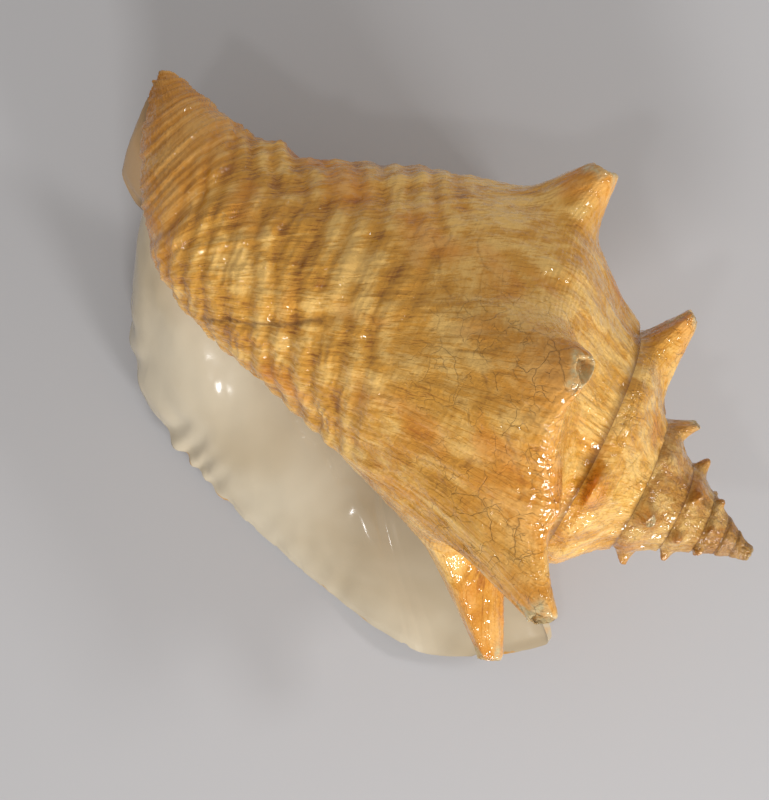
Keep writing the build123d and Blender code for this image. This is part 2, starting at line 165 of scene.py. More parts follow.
def through(xs, ys, x):
    """Smooth curve through the stations (xs, ys): cubic pieces, slopes by harmonic mean."""
    xs = np.asarray(xs, float)
    ys = np.asarray(ys, float)
    h = np.diff(xs)
    d = np.diff(ys) / h
    m = np.zeros(len(xs))
    w1 = 2.0 * h[1:] + h[:-1]
    w2 = h[1:] + 2.0 * h[:-1]
    same = d[1:] * d[:-1] > 0.0
    bottom = np.where(same, w1 / np.where(same, d[:-1], 1.0) + w2 / np.where(same, d[1:], 1.0), 1.0)
    m[1:-1] = np.where(same, (w1 + w2) / bottom, 0.0)
    m[0] = d[0]
    m[-1] = d[-1]
    x = np.clip(x, xs[0], xs[-1])
    k = np.clip(np.searchsorted(xs, x, side="right") - 1, 0, len(h) - 1)
    t = (x - xs[k]) / h[k]
    a = ys[k] * (1.0 + 2.0 * t) * (1.0 - t) ** 2 + m[k] * h[k] * t * (1.0 - t) ** 2
    b = ys[k + 1] * t * t * (3.0 - 2.0 * t) + m[k + 1] * h[k] * t * t * (t - 1.0)
    return a + b


def chance(i, j, seed):
    """A fixed number from -1 to 1 for each pair of whole numbers, by mixing their bits."""
    n = i.astype(np.int64) * 374761393 + j.astype(np.int64) * 668265263 + seed * 2147483647
    n = (n ^ (n >> 13)) * 1274126177
    n = n ^ (n >> 16)
    return (n & 0xFFFFFF) / float(0x7FFFFF) - 1.0


def noise(x, y, seed):
    """Smooth noise from -1 to 1: fixed numbers on a unit grid, joined by quintic steps."""
    i = np.floor(x)
    j = np.floor(y)
    s = x - i
    t = y - j
    s = s * s * s * (s * (6.0 * s - 15.0) + 10.0)
    t = t * t * t * (t * (6.0 * t - 15.0) + 10.0)
    low = chance(i, j, seed) * (1.0 - s) + chance(i + 1, j, seed) * s
    high = chance(i, j + 1, seed) * (1.0 - s) + chance(i + 1, j + 1, seed) * s
    return low * (1.0 - t) + high * t


def clouds(x, y, seed, layers=3):
    """Noise at several scales added up, each layer twice as fine and half as strong."""
    total = 0.0
    for k in range(layers):
        total = total + noise(x * 2.0**k, y * 2.0**k, seed + 31 * k) / 2.0**k
    return total / (2.0 - 0.5 ** (layers - 1))


def cell_edges(x, y, seed):
    """Distance from the borders of irregular cells: second nearest minus nearest cell centre."""
    i = np.floor(x)
    j = np.floor(y)
    nearest = np.full(np.shape(x), 9.0)
    second = np.full(np.shape(x), 9.0)
    for di in (-1, 0, 1):
        for dj in (-1, 0, 1):
            cx = i + di + 0.5 + 0.45 * chance(i + di, j + dj, seed)
            cy = j + dj + 0.5 + 0.45 * chance(i + di, j + dj, seed + 7)
            d = np.hypot(x - cx, y - cy)
            second = np.minimum(second, np.maximum(nearest, d))
            nearest = np.minimum(nearest, d)
    return second - nearest


# ------------------------------------------------------------------ how the shell grows
def seam_w(a):
    """Where along the axis the upper seam of the whorl is."""
    return SEAM_HEIGHT * HEIGHT_PER_TURN ** ((a - 90.0) / 360.0) - APEX_CUT


def shoulder_r(a):
    """Radius of the shoulder: a steady spiral, with the adult whorls a little wider."""
    spiral = BODY_RADIUS * RADIUS_PER_TURN ** ((a - 90.0) / 360.0)
    return spiral * (YOUNG_RADIUS + (1.0 - YOUNG_RADIUS) * ease((a + 620.0) / 160.0))


def shoulder_w(a):
    """Where along the axis the shoulder is."""
    spire = seam_w(a) + SHOULDER_PLACE * (seam_w(a + 360.0) - seam_w(a))
    early = SHOULDER_HEIGHT + SHOULDER_SLOPE * (a - 90.0)
    late = SHOULDER_HEIGHT + SHOULDER_LATE * ease((a - 90.0) / 120.0)
    body = np.where(a > 90.0, late, early)
    return spire + (body - spire) * ease((a + 300.0) / 210.0)


def foot_w(a):
    """Where along the axis the wall ends on the columella."""
    grown = INNER_FOOT * seam_w(a) + INNER_FOOT_EXTRA * np.exp(-(((a + 300.0) / 400.0) ** 2))
    young = YOUNG_FOOT * (seam_w(a) + APEX_CUT) - APEX_CUT
    spire = 0.5 * (grown + young + np.hypot(grown - young, FOOT_BLEND))
    return spire + (SHELL_LENGTH - spire) * ease((a + 330.0) / 260.0)


def pillar_r(w):
    """Radius of the columella."""
    return COLUMELLA_TOP + (COLUMELLA_FOOT - COLUMELLA_TOP) * w / SHELL_LENGTH


def side_shift(w):
    """Sideways run of the coiling axis: a slight lean of the spire and the bent canal."""
    bend = np.clip((w - CANAL_START) / (SHELL_LENGTH - CANAL_START), 0.0, 2.0)
    return CANAL_BEND * bend**2 - SPIRE_LEAN * np.exp(-(((w - LEAN_HEIGHT) / LEAN_SPAN) ** 2))


def wall_shape(a, z):
    """Share of the shoulder radius left at share z of the way down to the foot."""
    newer = ease((a + 90.0) / 180.0)
    older = ease((-110.0 - a) / 140.0)
    mix = np.where(a > -90.0, newer, older)
    return through(DOWN, OLD_SIDE, z) * (1.0 - mix) + through(DOWN, NEW_SIDE, z) * mix


def lower_wall(a, z):
    """Radius of the wall below its shoulder; it ends on the columella."""
    foot_r = pillar_r(foot_w(a)) + FIT
    return foot_r + (shoulder_r(a) - foot_r) * wall_shape(a, z)


def wall_at(a, w):
    """Radius of the wall at distance w along the axis (below its shoulder)."""
    z = np.clip((w - shoulder_w(a)) / (foot_w(a) - shoulder_w(a)), 0.0, 1.0)
    return lower_wall(a, z)


def creased(a, u):
    """Ramp from the seam out to the shoulder, then the wall down to the columella."""
    seam_r = wall_at(a - 360.0, seam_w(a)) + FIT
    k = np.clip(u / SHOULDER_U, 0.0, 1.0)
    z = np.clip((u - SHOULDER_U) / (1.0 - SHOULDER_U), 0.0, 1.0)
    ramp_w = seam_w(a) + (shoulder_w(a) - seam_w(a)) * k
    ramp_r = seam_r + (shoulder_r(a) - seam_r) * (0.62 * k + 1.14 * k**2 - 0.76 * k**3)
    wall_w = shoulder_w(a) + (foot_w(a) - shoulder_w(a)) * z
    on_ramp = u < SHOULDER_U
    return np.where(on_ramp, ramp_w, wall_w), np.where(on_ramp, ramp_r, lower_wall(a, z))


def bare(a, u):
    """Outside of the shell without spines: the creased outline with its shoulder rounded."""
    step = np.minimum(np.minimum(0.025, u), 1.0 - u)
    w0, r0 = creased(a, u)
    w1, r1 = creased(a, u - step)
    w2, r2 = creased(a, u + step)
    return 0.4 * w0 + 0.3 * (w1 + w2), 0.4 * r0 + 0.3 * (r1 + r2)


def knobs():
    """The row of small knobs on the older whorls, in the form of the spine list."""
    rows = []
    for a in np.arange(KNOB_FIRST, KNOB_LAST, -KNOB_STEP):
        size = HEIGHT_PER_TURN ** ((a - KNOB_FIRST) / 360.0)
        height = KNOB_HEIGHT * size * size
        width = KNOB_WIDTH * size
        rows.append((a, 0.19, -0.3 * height, height, width, width, 0.9 * width, width, 2.4, 1.0, 0.0))
    return rows


ALL_SPINES = SPINES + knobs()


def covered_fade(a, w, reach):
    """1 where the wall shows, fading to 0 over reach mm before the next whorl's seam hides it."""
    shown = ease((seam_w(a + 360.0) - w) / reach)
    return shown + (1.0 - shown) * ease((a + 360.0 - LIP_ROOT) / 10.0)


def spine_pulls(a, u, w0):
    """For each spine near the patch: how far it draws the wall out (0 to 1) and how far the
    point is from its middle line, counted so that 1 is the border of a broken end."""
    near_seam = ease(u / 0.07)
    showing = covered_fade(a, w0, 0.06 * seam_w(a + 360.0))
    for spine in ALL_SPINES:
        angle, at = spine[:2]
        before, after, up, down, full, cut = spine[4:10]
        if a.min() > angle + 60.0 or a.max() < angle - 60.0:
            continue
        base_w, base_r = bare(np.array(angle), np.array(at))
        across = np.radians(a - angle) * base_r / np.where(a < angle, before, after)
        drop = (w0 - base_w) / np.where(w0 < base_w, up, down)
        place_on = np.hypot(across, drop)
        pull = np.exp(-((1.6 * place_on) ** full))
        pull = np.where(np.abs(a - angle) < 60.0, pull, 0.0) * showing * near_seam
        border = (-math.log(min(cut, 0.999))) ** (1.0 / full) / 1.6
        yield spine, pull, place_on / border, np.arctan2(drop, across)


def outside(a, u):
    """Outside of the shell with its spines.  Each spine draws the wall out to its tip.  A
    broken spine keeps its length but ends blunt, in an uneven rim round a shallow hollow."""
    w, r = bare(a, u)
    w0 = w
    for spine, pull, ring, turn in spine_pulls(a, u, w0):
        lean, height, cut, depth = spine[2], spine[3], spine[9], spine[10]
        if cut < 1.0:
            uneven = noise(1.6 * turn + 9.0, 0.0 * turn + height, 5)
            blunt = pull / cut
            pull = np.where(blunt < 0.8, blunt, 0.8 + 0.2 * np.tanh((blunt - 0.8) / 0.2) / np.tanh(1.0))
            pull = np.minimum(pull, 1.0)
            hollow = ease((0.92 + 0.10 * uneven - ring) / 0.45)
            pull = pull - depth / height * hollow - 0.4 / height * ease(1.4 - ring) * (1.0 + uneven)
        w = w + lean * pull
        r = r + height * pull
    return w, r


def wall_thickness(a):
    return WALL_BASE + WALL_PER_RADIUS * shoulder_r(a)


def inside(a, u):
    """Inner face: the bare outside moved in by the wall thickness, resting on what it meets."""
    w1, r1 = bare(a, np.clip(u - 0.035, 0.0, 1.0))
    w2, r2 = bare(a, np.clip(u + 0.035, 0.0, 1.0))
    w, r = bare(a, u)
    length = np.hypot(w2 - w1, r2 - r1)
    t = wall_thickness(a)
    w_in = np.minimum(w + t * (r2 - r1) / length, foot_w(a))
    r_in = r - t * (w2 - w1) / length
    floor = np.maximum(wall_at(a - 360.0, w_in), pillar_r(w_in)) + FIT
    soft = 0.2 * t
    r_in = 0.5 * (r_in + floor + np.sqrt((r_in - floor) ** 2 + soft**2))
    return w_in, r_in


# The origin comes from the frame: the apex ring sits on the axis, its face at w = 0.
rim_low, rim_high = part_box("apex_rim")
ORIGIN_W = 1000.0 * rim_high.x
AXIS_HEIGHT = 500.0 * (rim_low.z + rim_high.z)
ORIGIN_SIDE = float(side_shift(0.0)) - 500.0 * (rim_low.y + rim_high.y)


def place(w, r, a):
    """Growth frame to the part's frame, in mm."""
    up = r * np.cos(np.radians(a)) + AXIS_HEIGHT
    side = r * np.sin(np.radians(a)) + side_shift(w) - ORIGIN_SIDE
    return np.stack([ORIGIN_W - w, side, up], axis=-1)


# ------------------------------------------------------------------ relief on the outside
# A growth line keeps a + sweep(u) constant: steep on the ramp, slanting over the body, and
# almost along the turn on the canal.
SWEEP_U = [0.0, 0.10, 0.20, 0.33, 0.45, 0.60, 0.70, 0.78, 0.85, 0.92, 1.0]
SWEEP = [0.0, 3.0, 9.0, 19.0, 33.0, 55.0, 75.0, 102.0, 172.0, 300.0, 480.0]
CORD_STEP = 0.046             # share of the generating curve from one spiral cord to the next
CORD_FALL = 0.0009            # how fast a cord moves down, share per degree
CORD_HEIGHT = 1.15            # height of a spiral cord, mm
FINE_CORD_STEP = 0.0155       # share from one of the fine cords between them to the next
FINE_CORD_HEIGHT = 0.20       # half the height of a fine cord
FOLD_HEIGHT = 1.10            # height of the broad growth folds
LINE_HEIGHT = 0.14            # height of the fine growth lines
CRACK_SPAN = 175.0            # length that the generating curve counts as beside a crack

# Swellings and hollows of the body whorl: angle, share u, half width in degrees, half width
# in u, height in mm
SWELLINGS = [
    (76.0, 0.735, 16.0, 0.022, 3.2),
    (12.0, 0.662, 20.0, 0.030, 1.3),
    (38.0, 0.675, 9.0, 0.026, -1.5),
    (6.0, 0.430, 9.0, 0.050, 1.2),
    (50.0, 0.520, 6.0, 0.050, -1.3),
    (30.0, 0.500, 8.0, 0.040, 0.7),
    (-30.0, 0.380, 14.0, 0.030, 0.9),
    (-6.0, 0.505, 12.0, 0.018, -0.7),
    (62.0, 0.430, 10.0, 0.035, 0.8),
    (60.0, 0.600, 9.0, 0.020, 0.9),
    (-28.0, 0.620, 12.0, 0.018, 0.6),
    (-52.0, 0.560, 9.0, 0.030, -0.6),
    (130.0, 0.450, 16.0, 0.040, 1.0),
    (150.0, 0.600, 16.0, 0.030, 1.0),
    (178.0, 0.480, 12.0, 0.050, -0.8),
]

# Hairline cracks of the varnish: points (angle, share u) along each
CRACKS = [
    [(8.2, 0.313), (13.0, 0.340), (20.0, 0.372), (27.0, 0.392), (33.0, 0.422)],
    [(28.5, 0.285), (31.0, 0.318), (34.5, 0.342), (41.0, 0.345)],
    [(26.5, 0.398), (32.0, 0.394), (38.0, 0.392)],
    [(0.0, 0.366), (1.5, 0.332), (4.5, 0.304), (9.0, 0.282)],
    [(-6.0, 0.432), (-2.0, 0.428), (1.5, 0.410), (3.0, 0.398)],
    [(-4.0, 0.436), (-1.0, 0.462)],
    [(-34.0, 0.300), (-28.0, 0.268), (-21.0, 0.262), (-16.0, 0.240)],
    [(-30.0, 0.150), (-25.0, 0.175), (-18.0, 0.180), (-12.0, 0.205)],
    [(-14.0, 0.120), (-9.0, 0.150), (-4.0, 0.190), (-2.0, 0.230)],
    [(-22.0, 0.215), (-14.0, 0.222), (-8.0, 0.246), (-1.0, 0.262)],
    [(22.0, 0.100), (27.0, 0.135), (30.0, 0.180)],
    [(16.0, 0.030), (20.0, 0.055), (25.0, 0.062), (29.0, 0.080)],
    [(-60.0, 0.120), (-55.0, 0.080), (-50.0, 0.050)],
    [(-8.0, 0.290), (-3.0, 0.275), (2.0, 0.290)],
]

# A dark growth scar across the lower body: points (angle, share u)
SCAR = [(-66.0, 0.716), (-53.0, 0.686), (-43.0, 0.655), (-36.0, 0.615), (-27.0, 0.575), (-14.0, 0.524)]


def sweep(u):
    return through(SWEEP_U, SWEEP, u)


def whorl_size(a):
    """How large a whorl is next to the body whorl."""
    return HEIGHT_PER_TURN ** (np.minimum(a + 100.0, 0.0) / 360.0)


def distance_to(points, a, u):
    """Rough distance in mm on the body whorl from a chain of straight runs between points: a
    degree of turn counts as 1 mm, and the generating curve as CRACK_SPAN."""
    best = np.full(np.shape(a), 99.0)
    for (a0, u0), (a1, u1) in zip(points[:-1], points[1:]):
        dx, dy = a1 - a0, CRACK_SPAN * (u1 - u0)
        px, py = a - a0, CRACK_SPAN * (u - u0)
        t = np.clip((px * dx + py * dy) / (dx * dx + dy * dy), 0.0, 1.0)
        best = np.minimum(best, np.hypot(px - t * dx, py - t * dy))
    return best


def cord_wave(a, u):
    """Spiral cords, 1 on a crest and 0 in a groove: a cosine of the place across the turn, its
    crests wandering with noise.  Older whorls have finer threads."""
    step = np.where(a < -100.0, 0.6, 1.0) * CORD_STEP
    turn = (u - CORD_FALL * a) / step + 0.45 * clouds(a / 34.0, u * 7.0, 11, 2)
    return 0.5 + 0.5 * np.cos(2.0 * np.pi * turn)


def relief(a, u):
    """Height of the surface detail in mm, and the marks it leaves for the colours.  The height
    adds up spiral cords, broad folds and fine lines along the growth, swellings, wrinkles
    between cells and cracks."""
    size = whorl_size(a)
    line = a + sweep(u)
    w0 = bare(a, u)[0]
    body = ease((a + 103.0) / 8.0)
    showing = covered_fade(a, w0, 2.5 * size)
    quiet = np.where(a < -103.0, ease((u - 0.24) / 0.03) * ease((a + 168.0) / 6.0), 0.0)
    showing = showing * (1.0 - quiet) * ease(u / 0.015)

    cord = cord_wave(a, u)
    cord_zone = ease((u - 0.33) / 0.12) * ease((0.87 - u) / 0.07) * (0.35 + 0.65 * body)
    broken = 0.5 + 0.5 * noise(a / 16.0, u * 26.0, 17)
    height = CORD_HEIGHT * cord_zone * (0.35 + 0.65 * broken) * (cord**0.7 - 0.6)
    fine_cord = np.cos(2.0 * np.pi * (u / FINE_CORD_STEP + 0.9 * clouds(a / 18.0, u * 16.0, 19, 2)))
    height = height + FINE_CORD_HEIGHT * cord_zone * fine_cord * (0.4 + 0.6 * noise(a / 9.0, u * 20.0, 21))

    thread = 0.5 + 0.5 * np.cos(2.0 * np.pi * (u * 120.0 + 0.8 * noise(a / 20.0, u * 20.0, 23)))
    thread_zone = 1.0 - 0.75 * ease((u - 0.30) / 0.15) * body
    height = height + 0.10 * size * thread_zone * (thread - 0.5)

    fold = clouds(line / 13.0, u * 5.0, 41, 2)
    fine = noise(line / 1.5, u * 30.0, 43) + 0.6 * noise(line / 0.8, u * 50.0, 47)
    on_canal = ease((u - 0.76) / 0.08)
    height = height + size * (FOLD_HEIGHT * fold + LINE_HEIGHT * (1.0 - 0.8 * on_canal) * fine)
    ripple = clouds(a / 7.0, u * 26.0, 53, 3)
    height = height + 0.32 * size * ripple

    for angle, at, wide, tall, amount in SWELLINGS:
        height = height + amount * np.exp(-(((a - angle) / wide) ** 2) - ((u - at) / tall) ** 2)

    wrinkle = cell_edges(a / 6.0 + 0.4 * noise(a / 5.0, u * 40.0, 61), u * 26.0, 67)
    wrinkle = ease(1.0 - wrinkle / 0.13)
    near_c = np.exp(-(((a - 2.0) / 26.0) ** 2) - ((u - 0.24) / 0.13) ** 2)
    near_b = np.exp(-(((a + 42.0) / 20.0) ** 2) - ((u - 0.20) / 0.10) ** 2)
    second = ease((-100.0 - a) / 30.0)
    wrinkle = wrinkle * np.clip(near_c + near_b + 0.55 * second, 0.0, 1.0)
    height = height - 0.22 * size * wrinkle

    aside = a + 1.6 * clouds(a / 5.0, u * 32.0, 73, 3)
    below = u + 0.009 * clouds(a / 5.0, u * 32.0, 79, 3)
    crack = np.zeros(np.shape(a))
    for points in CRACKS:
        crack = np.maximum(crack, np.exp(-((distance_to(points, aside, below) / 0.33) ** 2)))
    crack = crack * (0.55 + 0.45 * noise(a / 3.0, u * 50.0, 77))
    height = height - 0.20 * crack
    scar = np.exp(-((distance_to(SCAR, aside, below) / 0.9) ** 2))
    height = height - 0.25 * scar

    granules = cell_edges(a / 9.0, u * 60.0, 91)
    height = height + 0.55 * size * ease((-900.0 - a) / 500.0) * (ease(granules / 0.5) - 0.5)

    # Painted shade: the seam mark darkens a narrow band of the wall along each upper seam, in the crease
    # where the whorl tucks in against the older one.
    seam = ease(1.0 - u / 0.022)
    thick_edge = ease(u / 0.012) * ease((0.06 - u) / 0.04) * ease((a + 2000.0) / 400.0)
    marks = {
        "cord": cord * cord_zone + 0.75 * (1.0 - cord_zone),
        "crack": np.clip(0.7 * crack, 0.0, 1.0) * showing,
        "scar": scar,
        "fold": 0.5 + 0.5 * fold,
        "seam": seam,
        "crazed": np.clip(near_c + near_b + 0.7 * second, 0.0, 1.0),
        "canal": on_canal,
    }
    return height * showing + 0.45 * size * thick_edge, marks


def tip_marks(a, u):
    """How worn (white) and how orange the wall is, from the broken ends of the spines."""
    w0 = bare(a, u)[0]
    worn = np.zeros(np.shape(a))
    warm = np.zeros(np.shape(a))
    for spine, pull, ring, turn in spine_pulls(a, u, w0):
        cut = spine[9]
        uneven = noise(2.2 * turn + 3.0, 0.0 * turn + spine[0], 71)
        if cut < 1.0:
            worn = np.maximum(worn, ease((1.45 + 0.35 * uneven - ring) / 0.35))
        warm = np.maximum(warm, ease((pull - 0.18) / 0.6))
    return worn, warm


# ------------------------------------------------------------------ the flared lip
LIP_TURN = 62.0               # how much further the growth runs over the lip, in degrees
FLUTES = 20.0                 # how many flutes there would be along the whole rim
FLUTE_SLANT = 0.18            # how far a flute runs along the root on its way in from the rim
SCALLOP = 0.9                 # how far the flutes push the rim out and in, mm


def unit(v):
    return v / np.maximum(np.linalg.norm(v, axis=-1, keepdims=True), 1e-12)


def rim(u):
    """Edge of the lip at share u of its root."""
    column = list(zip(*RIM))
    down = through(column[0], column[1], u)
    side = through(column[0], column[2], u)
    up = through(column[0], column[3], u)
    root_a = LIP_ROOT + 0.0 * u
    return place(*bare(root_a, u), root_a) + np.stack([-down, side, up], axis=-1)


def flute_turn(v, u):
    """Which of the unequal flutes a point of the lip lies in, counted along the rim.  They slant
    against the growth, and so they meet the rim squarely."""
    along = u + FLUTE_SLANT * (1.0 - v)
    return FLUTES * along + 0.9 * noise(along * 7.0, 0.0 * along, 87)


def over_the_rim(u, root):
    """Direction straight out over the rim: from the root to the rim, less what lies along it."""
    along = unit(rim(np.clip(u + 0.01, 0.0, 1.0)) - rim(np.clip(u - 0.01, 0.0, 1.0)))
    out = rim(u) - root
    return unit(out - along * np.sum(out * along, axis=-1, keepdims=True))


def lip_under(v, u):
    """Under (outer) side of the lip: leaves the spiral along its growth, ends on the rim, which
    the flutes of its front half push out and in."""
    root_a = LIP_ROOT + 0.0 * u
    p0 = place(*outside(root_a, u), root_a)
    back = place(*outside(root_a - 0.5, u), root_a - 0.5)
    start = unit(p0 - back)
    p1 = rim(u)
    reach = np.linalg.norm(p1 - p0, axis=-1, keepdims=True)
    end = unit((p1 - p0) / reach + np.array([0.0, 0.0, -0.25]))
    t = v[..., None]
    a = (2 * t**3 - 3 * t**2 + 1) * p0 + (t**3 - 2 * t**2 + t) * 0.9 * reach * start
    b = (3 * t**2 - 2 * t**3) * p1 + (t**3 - t**2) * 0.9 * reach * end
    wave = SCALLOP * ease((u - 0.50) / 0.25) * ease((0.94 - u) / 0.04) * ease((v - 0.65) / 0.35)
    wave = wave * np.cos(2.0 * np.pi * flute_turn(v, u))
    return a + b + wave[..., None] * over_the_rim(u, p0)


def lip_over(v, u):
    """Upper (inner, glossy) side of the lip, its thickness above the under side."""
    d = 0.02
    along = lip_under(np.clip(v + d, 0, 1), u) - lip_under(np.clip(v - d, 0, 1), u)
    across = lip_under(v, np.clip(u + d, 0, 1)) - lip_under(v, np.clip(u - d, 0, 1))
    normal = unit(np.cross(across, along))
    thick = LIP_THICKNESS * (1.0 - (1.0 - LIP_EDGE_SHARE) * ease((v - 0.6) / 0.4))
    thick = thick * (0.5 + 0.5 * ease((1.0 - u) / 0.15))
    root_a = LIP_ROOT + 0.0 * u
    step = place(*inside(root_a, u), root_a) - place(*outside(root_a, u), root_a)
    blend = ease(v / 0.30)[..., None]
    return lip_under(v, u) + step * (1.0 - blend) + normal * thick[..., None] * blend


def rim_wear(u):
    """How far the rim has chipped back, as a share of the lip's width: scallops and nicks."""
    scallop = 0.5 + 0.5 * noise(u * 34.0, 0.0 * u, 81)
    nick = ease((noise(u * 60.0, 0.0 * u, 83) - 0.35) / 0.4)
    front = ease((u - 0.45) / 0.2)
    return 0.004 + (0.008 + 0.020 * front) * scallop + 0.010 * nick


def flutes(v, u):
    """Soft furrows that run across the lip to its rim, deeper towards the front."""
    front = ease((u - 0.50) / 0.25)
    strength = 0.65 + 0.35 * noise(u * 11.0, v * 2.0, 95)
    furrow = np.cos(2.0 * np.pi * flute_turn(v, u)) * ease((v - 0.60) / 0.40) * strength
    broad = noise(u * 8.0 + 0.8 * v, v * 2.0, 89) + 0.6 * noise(u * 20.0, v * 6.0, 97)
    broad = broad * ease(v / 0.35) * ease((1.0 - v) / 0.06)
    return (0.15 + 1.35 * front) * furrow + (0.55 + 0.4 * front) * broad


# ------------------------------------------------------------------ meshes
BODY_STEP = 0.55              # aim for the distance between grid lines on the body, mm
SPINE_DENSITY = 1.3           # how many more lines there are around a spine
CURVE_LENGTH = 180.0          # rough length of the body whorl's generating curve, mm
LIP_STEP = 0.011              # share of the lip's width between grid lines
ROOT_LENGTH = 190.0           # rough length of the lip's root, mm


def lines(lo, hi, spacing, dense_at, dense_width, stride):
    """Grid lines from lo to hi, closer together around the places in dense_at.  Their number
    less one is a multiple of stride."""
    x = np.linspace(lo, hi, 2001)
    density = np.ones(len(x))
    for middle in dense_at:
        density = density + SPINE_DENSITY * np.exp(-(((x - middle) / dense_width) ** 2))
    count = np.concatenate([[0.0], np.cumsum(0.5 * (density[1:] + density[:-1]) * np.diff(x))])
    steps = stride * max(3, math.ceil(count[-1] / spacing / stride))
    return np.interp(np.linspace(0.0, count[-1], steps + 1), count, x)


def stretched(x, rings, lo=-1e9, hi=1e9):
    """The same lines with some more on either side, kept within lo and hi."""
    before = x[0] - (x[1] - x[0]) * np.arange(rings, 0, -1)
    after = x[-1] + (x[-1] - x[-2]) * np.arange(1, rings + 1)
    return np.clip(np.concatenate([before, x, after]), lo, hi)


def grid_normals(p):
    """Normals of a grid of points by the cross product of its central differences."""
    du = p[1:-1, 2:] - p[1:-1, :-2]
    da = p[2:, 1:-1] - p[:-2, 1:-1]
    return unit(np.cross(da, du))


def detailed(surface, height, x, y, y_limits):
    """A surface pushed out along its normals by a height.  Returns the points and normals on
    the lines x and y; both are worked out past the border, so neighbours shade alike."""
    xx = stretched(x, 2)[:, None] + np.zeros(len(y) + 4)
    yy = stretched(y, 2, *y_limits)[None, :] + np.zeros((len(x) + 4, 1))
    base = surface(xx, yy)
    push = height(xx[1:-1, 1:-1], yy[1:-1, 1:-1])
    full = base[1:-1, 1:-1] + grid_normals(base) * push[..., None]
    return full[1:-1, 1:-1], grid_normals(full)


def no_height(x, y):
    """The height of a surface without relief."""
    return 0.0 * (x + y)


def side_faces(nx, ny, stride, first_inner):
    """Faces round the border between a fine grid and one with every stride-th line."""
    def fine(i, j):
        return i * ny + j

    my = (ny - 1) // stride + 1
    mx = (nx - 1) // stride + 1

    def coarse(i, j):
        return first_inner + i * my + j

    k = np.arange(stride + 1)[None, :]
    j = np.arange(my - 1)[:, None]
    i = np.arange(mx - 1)[:, None]
    start = np.hstack([fine(0, j * stride + k), coarse(0, j + 1), coarse(0, j)])
    end = np.hstack([fine(nx - 1, (j * stride + k)[:, ::-1]), coarse(mx - 1, j), coarse(mx - 1, j + 1)])
    left = np.hstack([fine((i * stride + k)[:, ::-1], 0), coarse(i, 0), coarse(i + 1, 0)])
    right = np.hstack([fine(i * stride + k, ny - 1), coarse(i + 1, my - 1), coarse(i, my - 1)])
    return np.vstack([start, end, left, right])


def quads(nx, ny, first=0):
    i, j = np.meshgrid(np.arange(nx - 1), np.arange(ny - 1), indexing="ij")
    n = (first + i * ny + j).ravel()
    return np.stack([n, n + ny, n + ny + 1, n + 1], axis=1)


def closed_piece(name, top, top_normals, low, low_normals, stride, marks, growth, finishes):
    """A closed shell between a fine outer grid and a coarser inner grid.  marks and growth are
    given on the outer grid; finishes are the materials of the outside and of the rest."""
    nx, ny = top.shape[:2]
    mx, my = low.shape[:2]
    count = nx * ny
    points = np.vstack([top.reshape(-1, 3), low.reshape(-1, 3)]) / 1000.0
    points = np.clip(points, np.array(cad_low), np.array(cad_high))
    shell = quads(nx, ny)
    back = quads(mx, my, count)[:, ::-1]
    border = side_faces(nx, ny, stride, count)
    thickness = top[::stride, ::stride] - low
    if (thickness * top_normals[::stride, ::stride]).sum() < 0.0:
        raise ValueError(name + ": its outside faces inwards")

    edge = points[border[:, 1:]] - points[border[:, :-1]]
    flat = unit(np.cross(edge[:, 0], edge[:, stride]))
    loop_normals = np.vstack([
        top_normals.reshape(-1, 3)[shell.ravel()],
        -low_normals.reshape(-1, 3)[back.ravel() - count],
        np.repeat(flat, border.shape[1], axis=0),
    ])
    corners = np.concatenate([shell.ravel(), back.ravel(), border.ravel()])
    sizes = np.concatenate([np.full(len(shell) + len(back), 4), np.full(len(border), border.shape[1])])
    mesh = bpy.data.meshes.new(name)
    mesh.vertices.add(len(points))
    mesh.vertices.foreach_set("co", points.astype(np.float32).ravel())
    mesh.loops.add(len(corners))
    mesh.loops.foreach_set("vertex_index", corners.astype(np.int32))
    mesh.polygons.add(len(sizes))
    mesh.polygons.foreach_set("loop_start", (np.cumsum(sizes) - sizes).astype(np.int32))
    mesh.polygons.foreach_set("use_smooth", np.ones(len(sizes), bool))
    which = np.concatenate([np.zeros(len(shell), np.int32), np.ones(len(back) + len(border), np.int32)])
    mesh.polygons.foreach_set("material_index", which)
    mesh.update(calc_edges=True)

    low_grid = growth[::stride, ::stride].reshape(-1, 2)
    uv = np.vstack([growth.reshape(-1, 2), low_grid])[corners]
    mesh.uv_layers.new(name="growth").data.foreach_set("uv", uv.astype(np.float32).ravel())
    for mark, value in marks.items():
        both = np.concatenate([value.ravel(), value[::stride, ::stride].ravel()])
        layer = mesh.attributes.new(mark, "FLOAT", "POINT")
        layer.data.foreach_set("value", both.astype(np.float32))
    mesh.normals_split_custom_set(loop_normals.astype(np.float32))
    for finish in finishes:
        mesh.materials.append(finish)
    piece = bpy.data.objects.new(name, mesh)
    bpy.context.scene.collection.objects.link(piece)
    return piece


def seat(piece, node):
    """Hangs a finished piece on the root body and hides the part it is built over."""
    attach(piece, "root")
    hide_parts(node)


def growth_uv(a, u):
    """Coordinates for the colours: across the growth lines and down them, 10 mm on the body."""
    return np.stack([(a + sweep(u)) / 10.0, 18.0 * u], axis=-1)


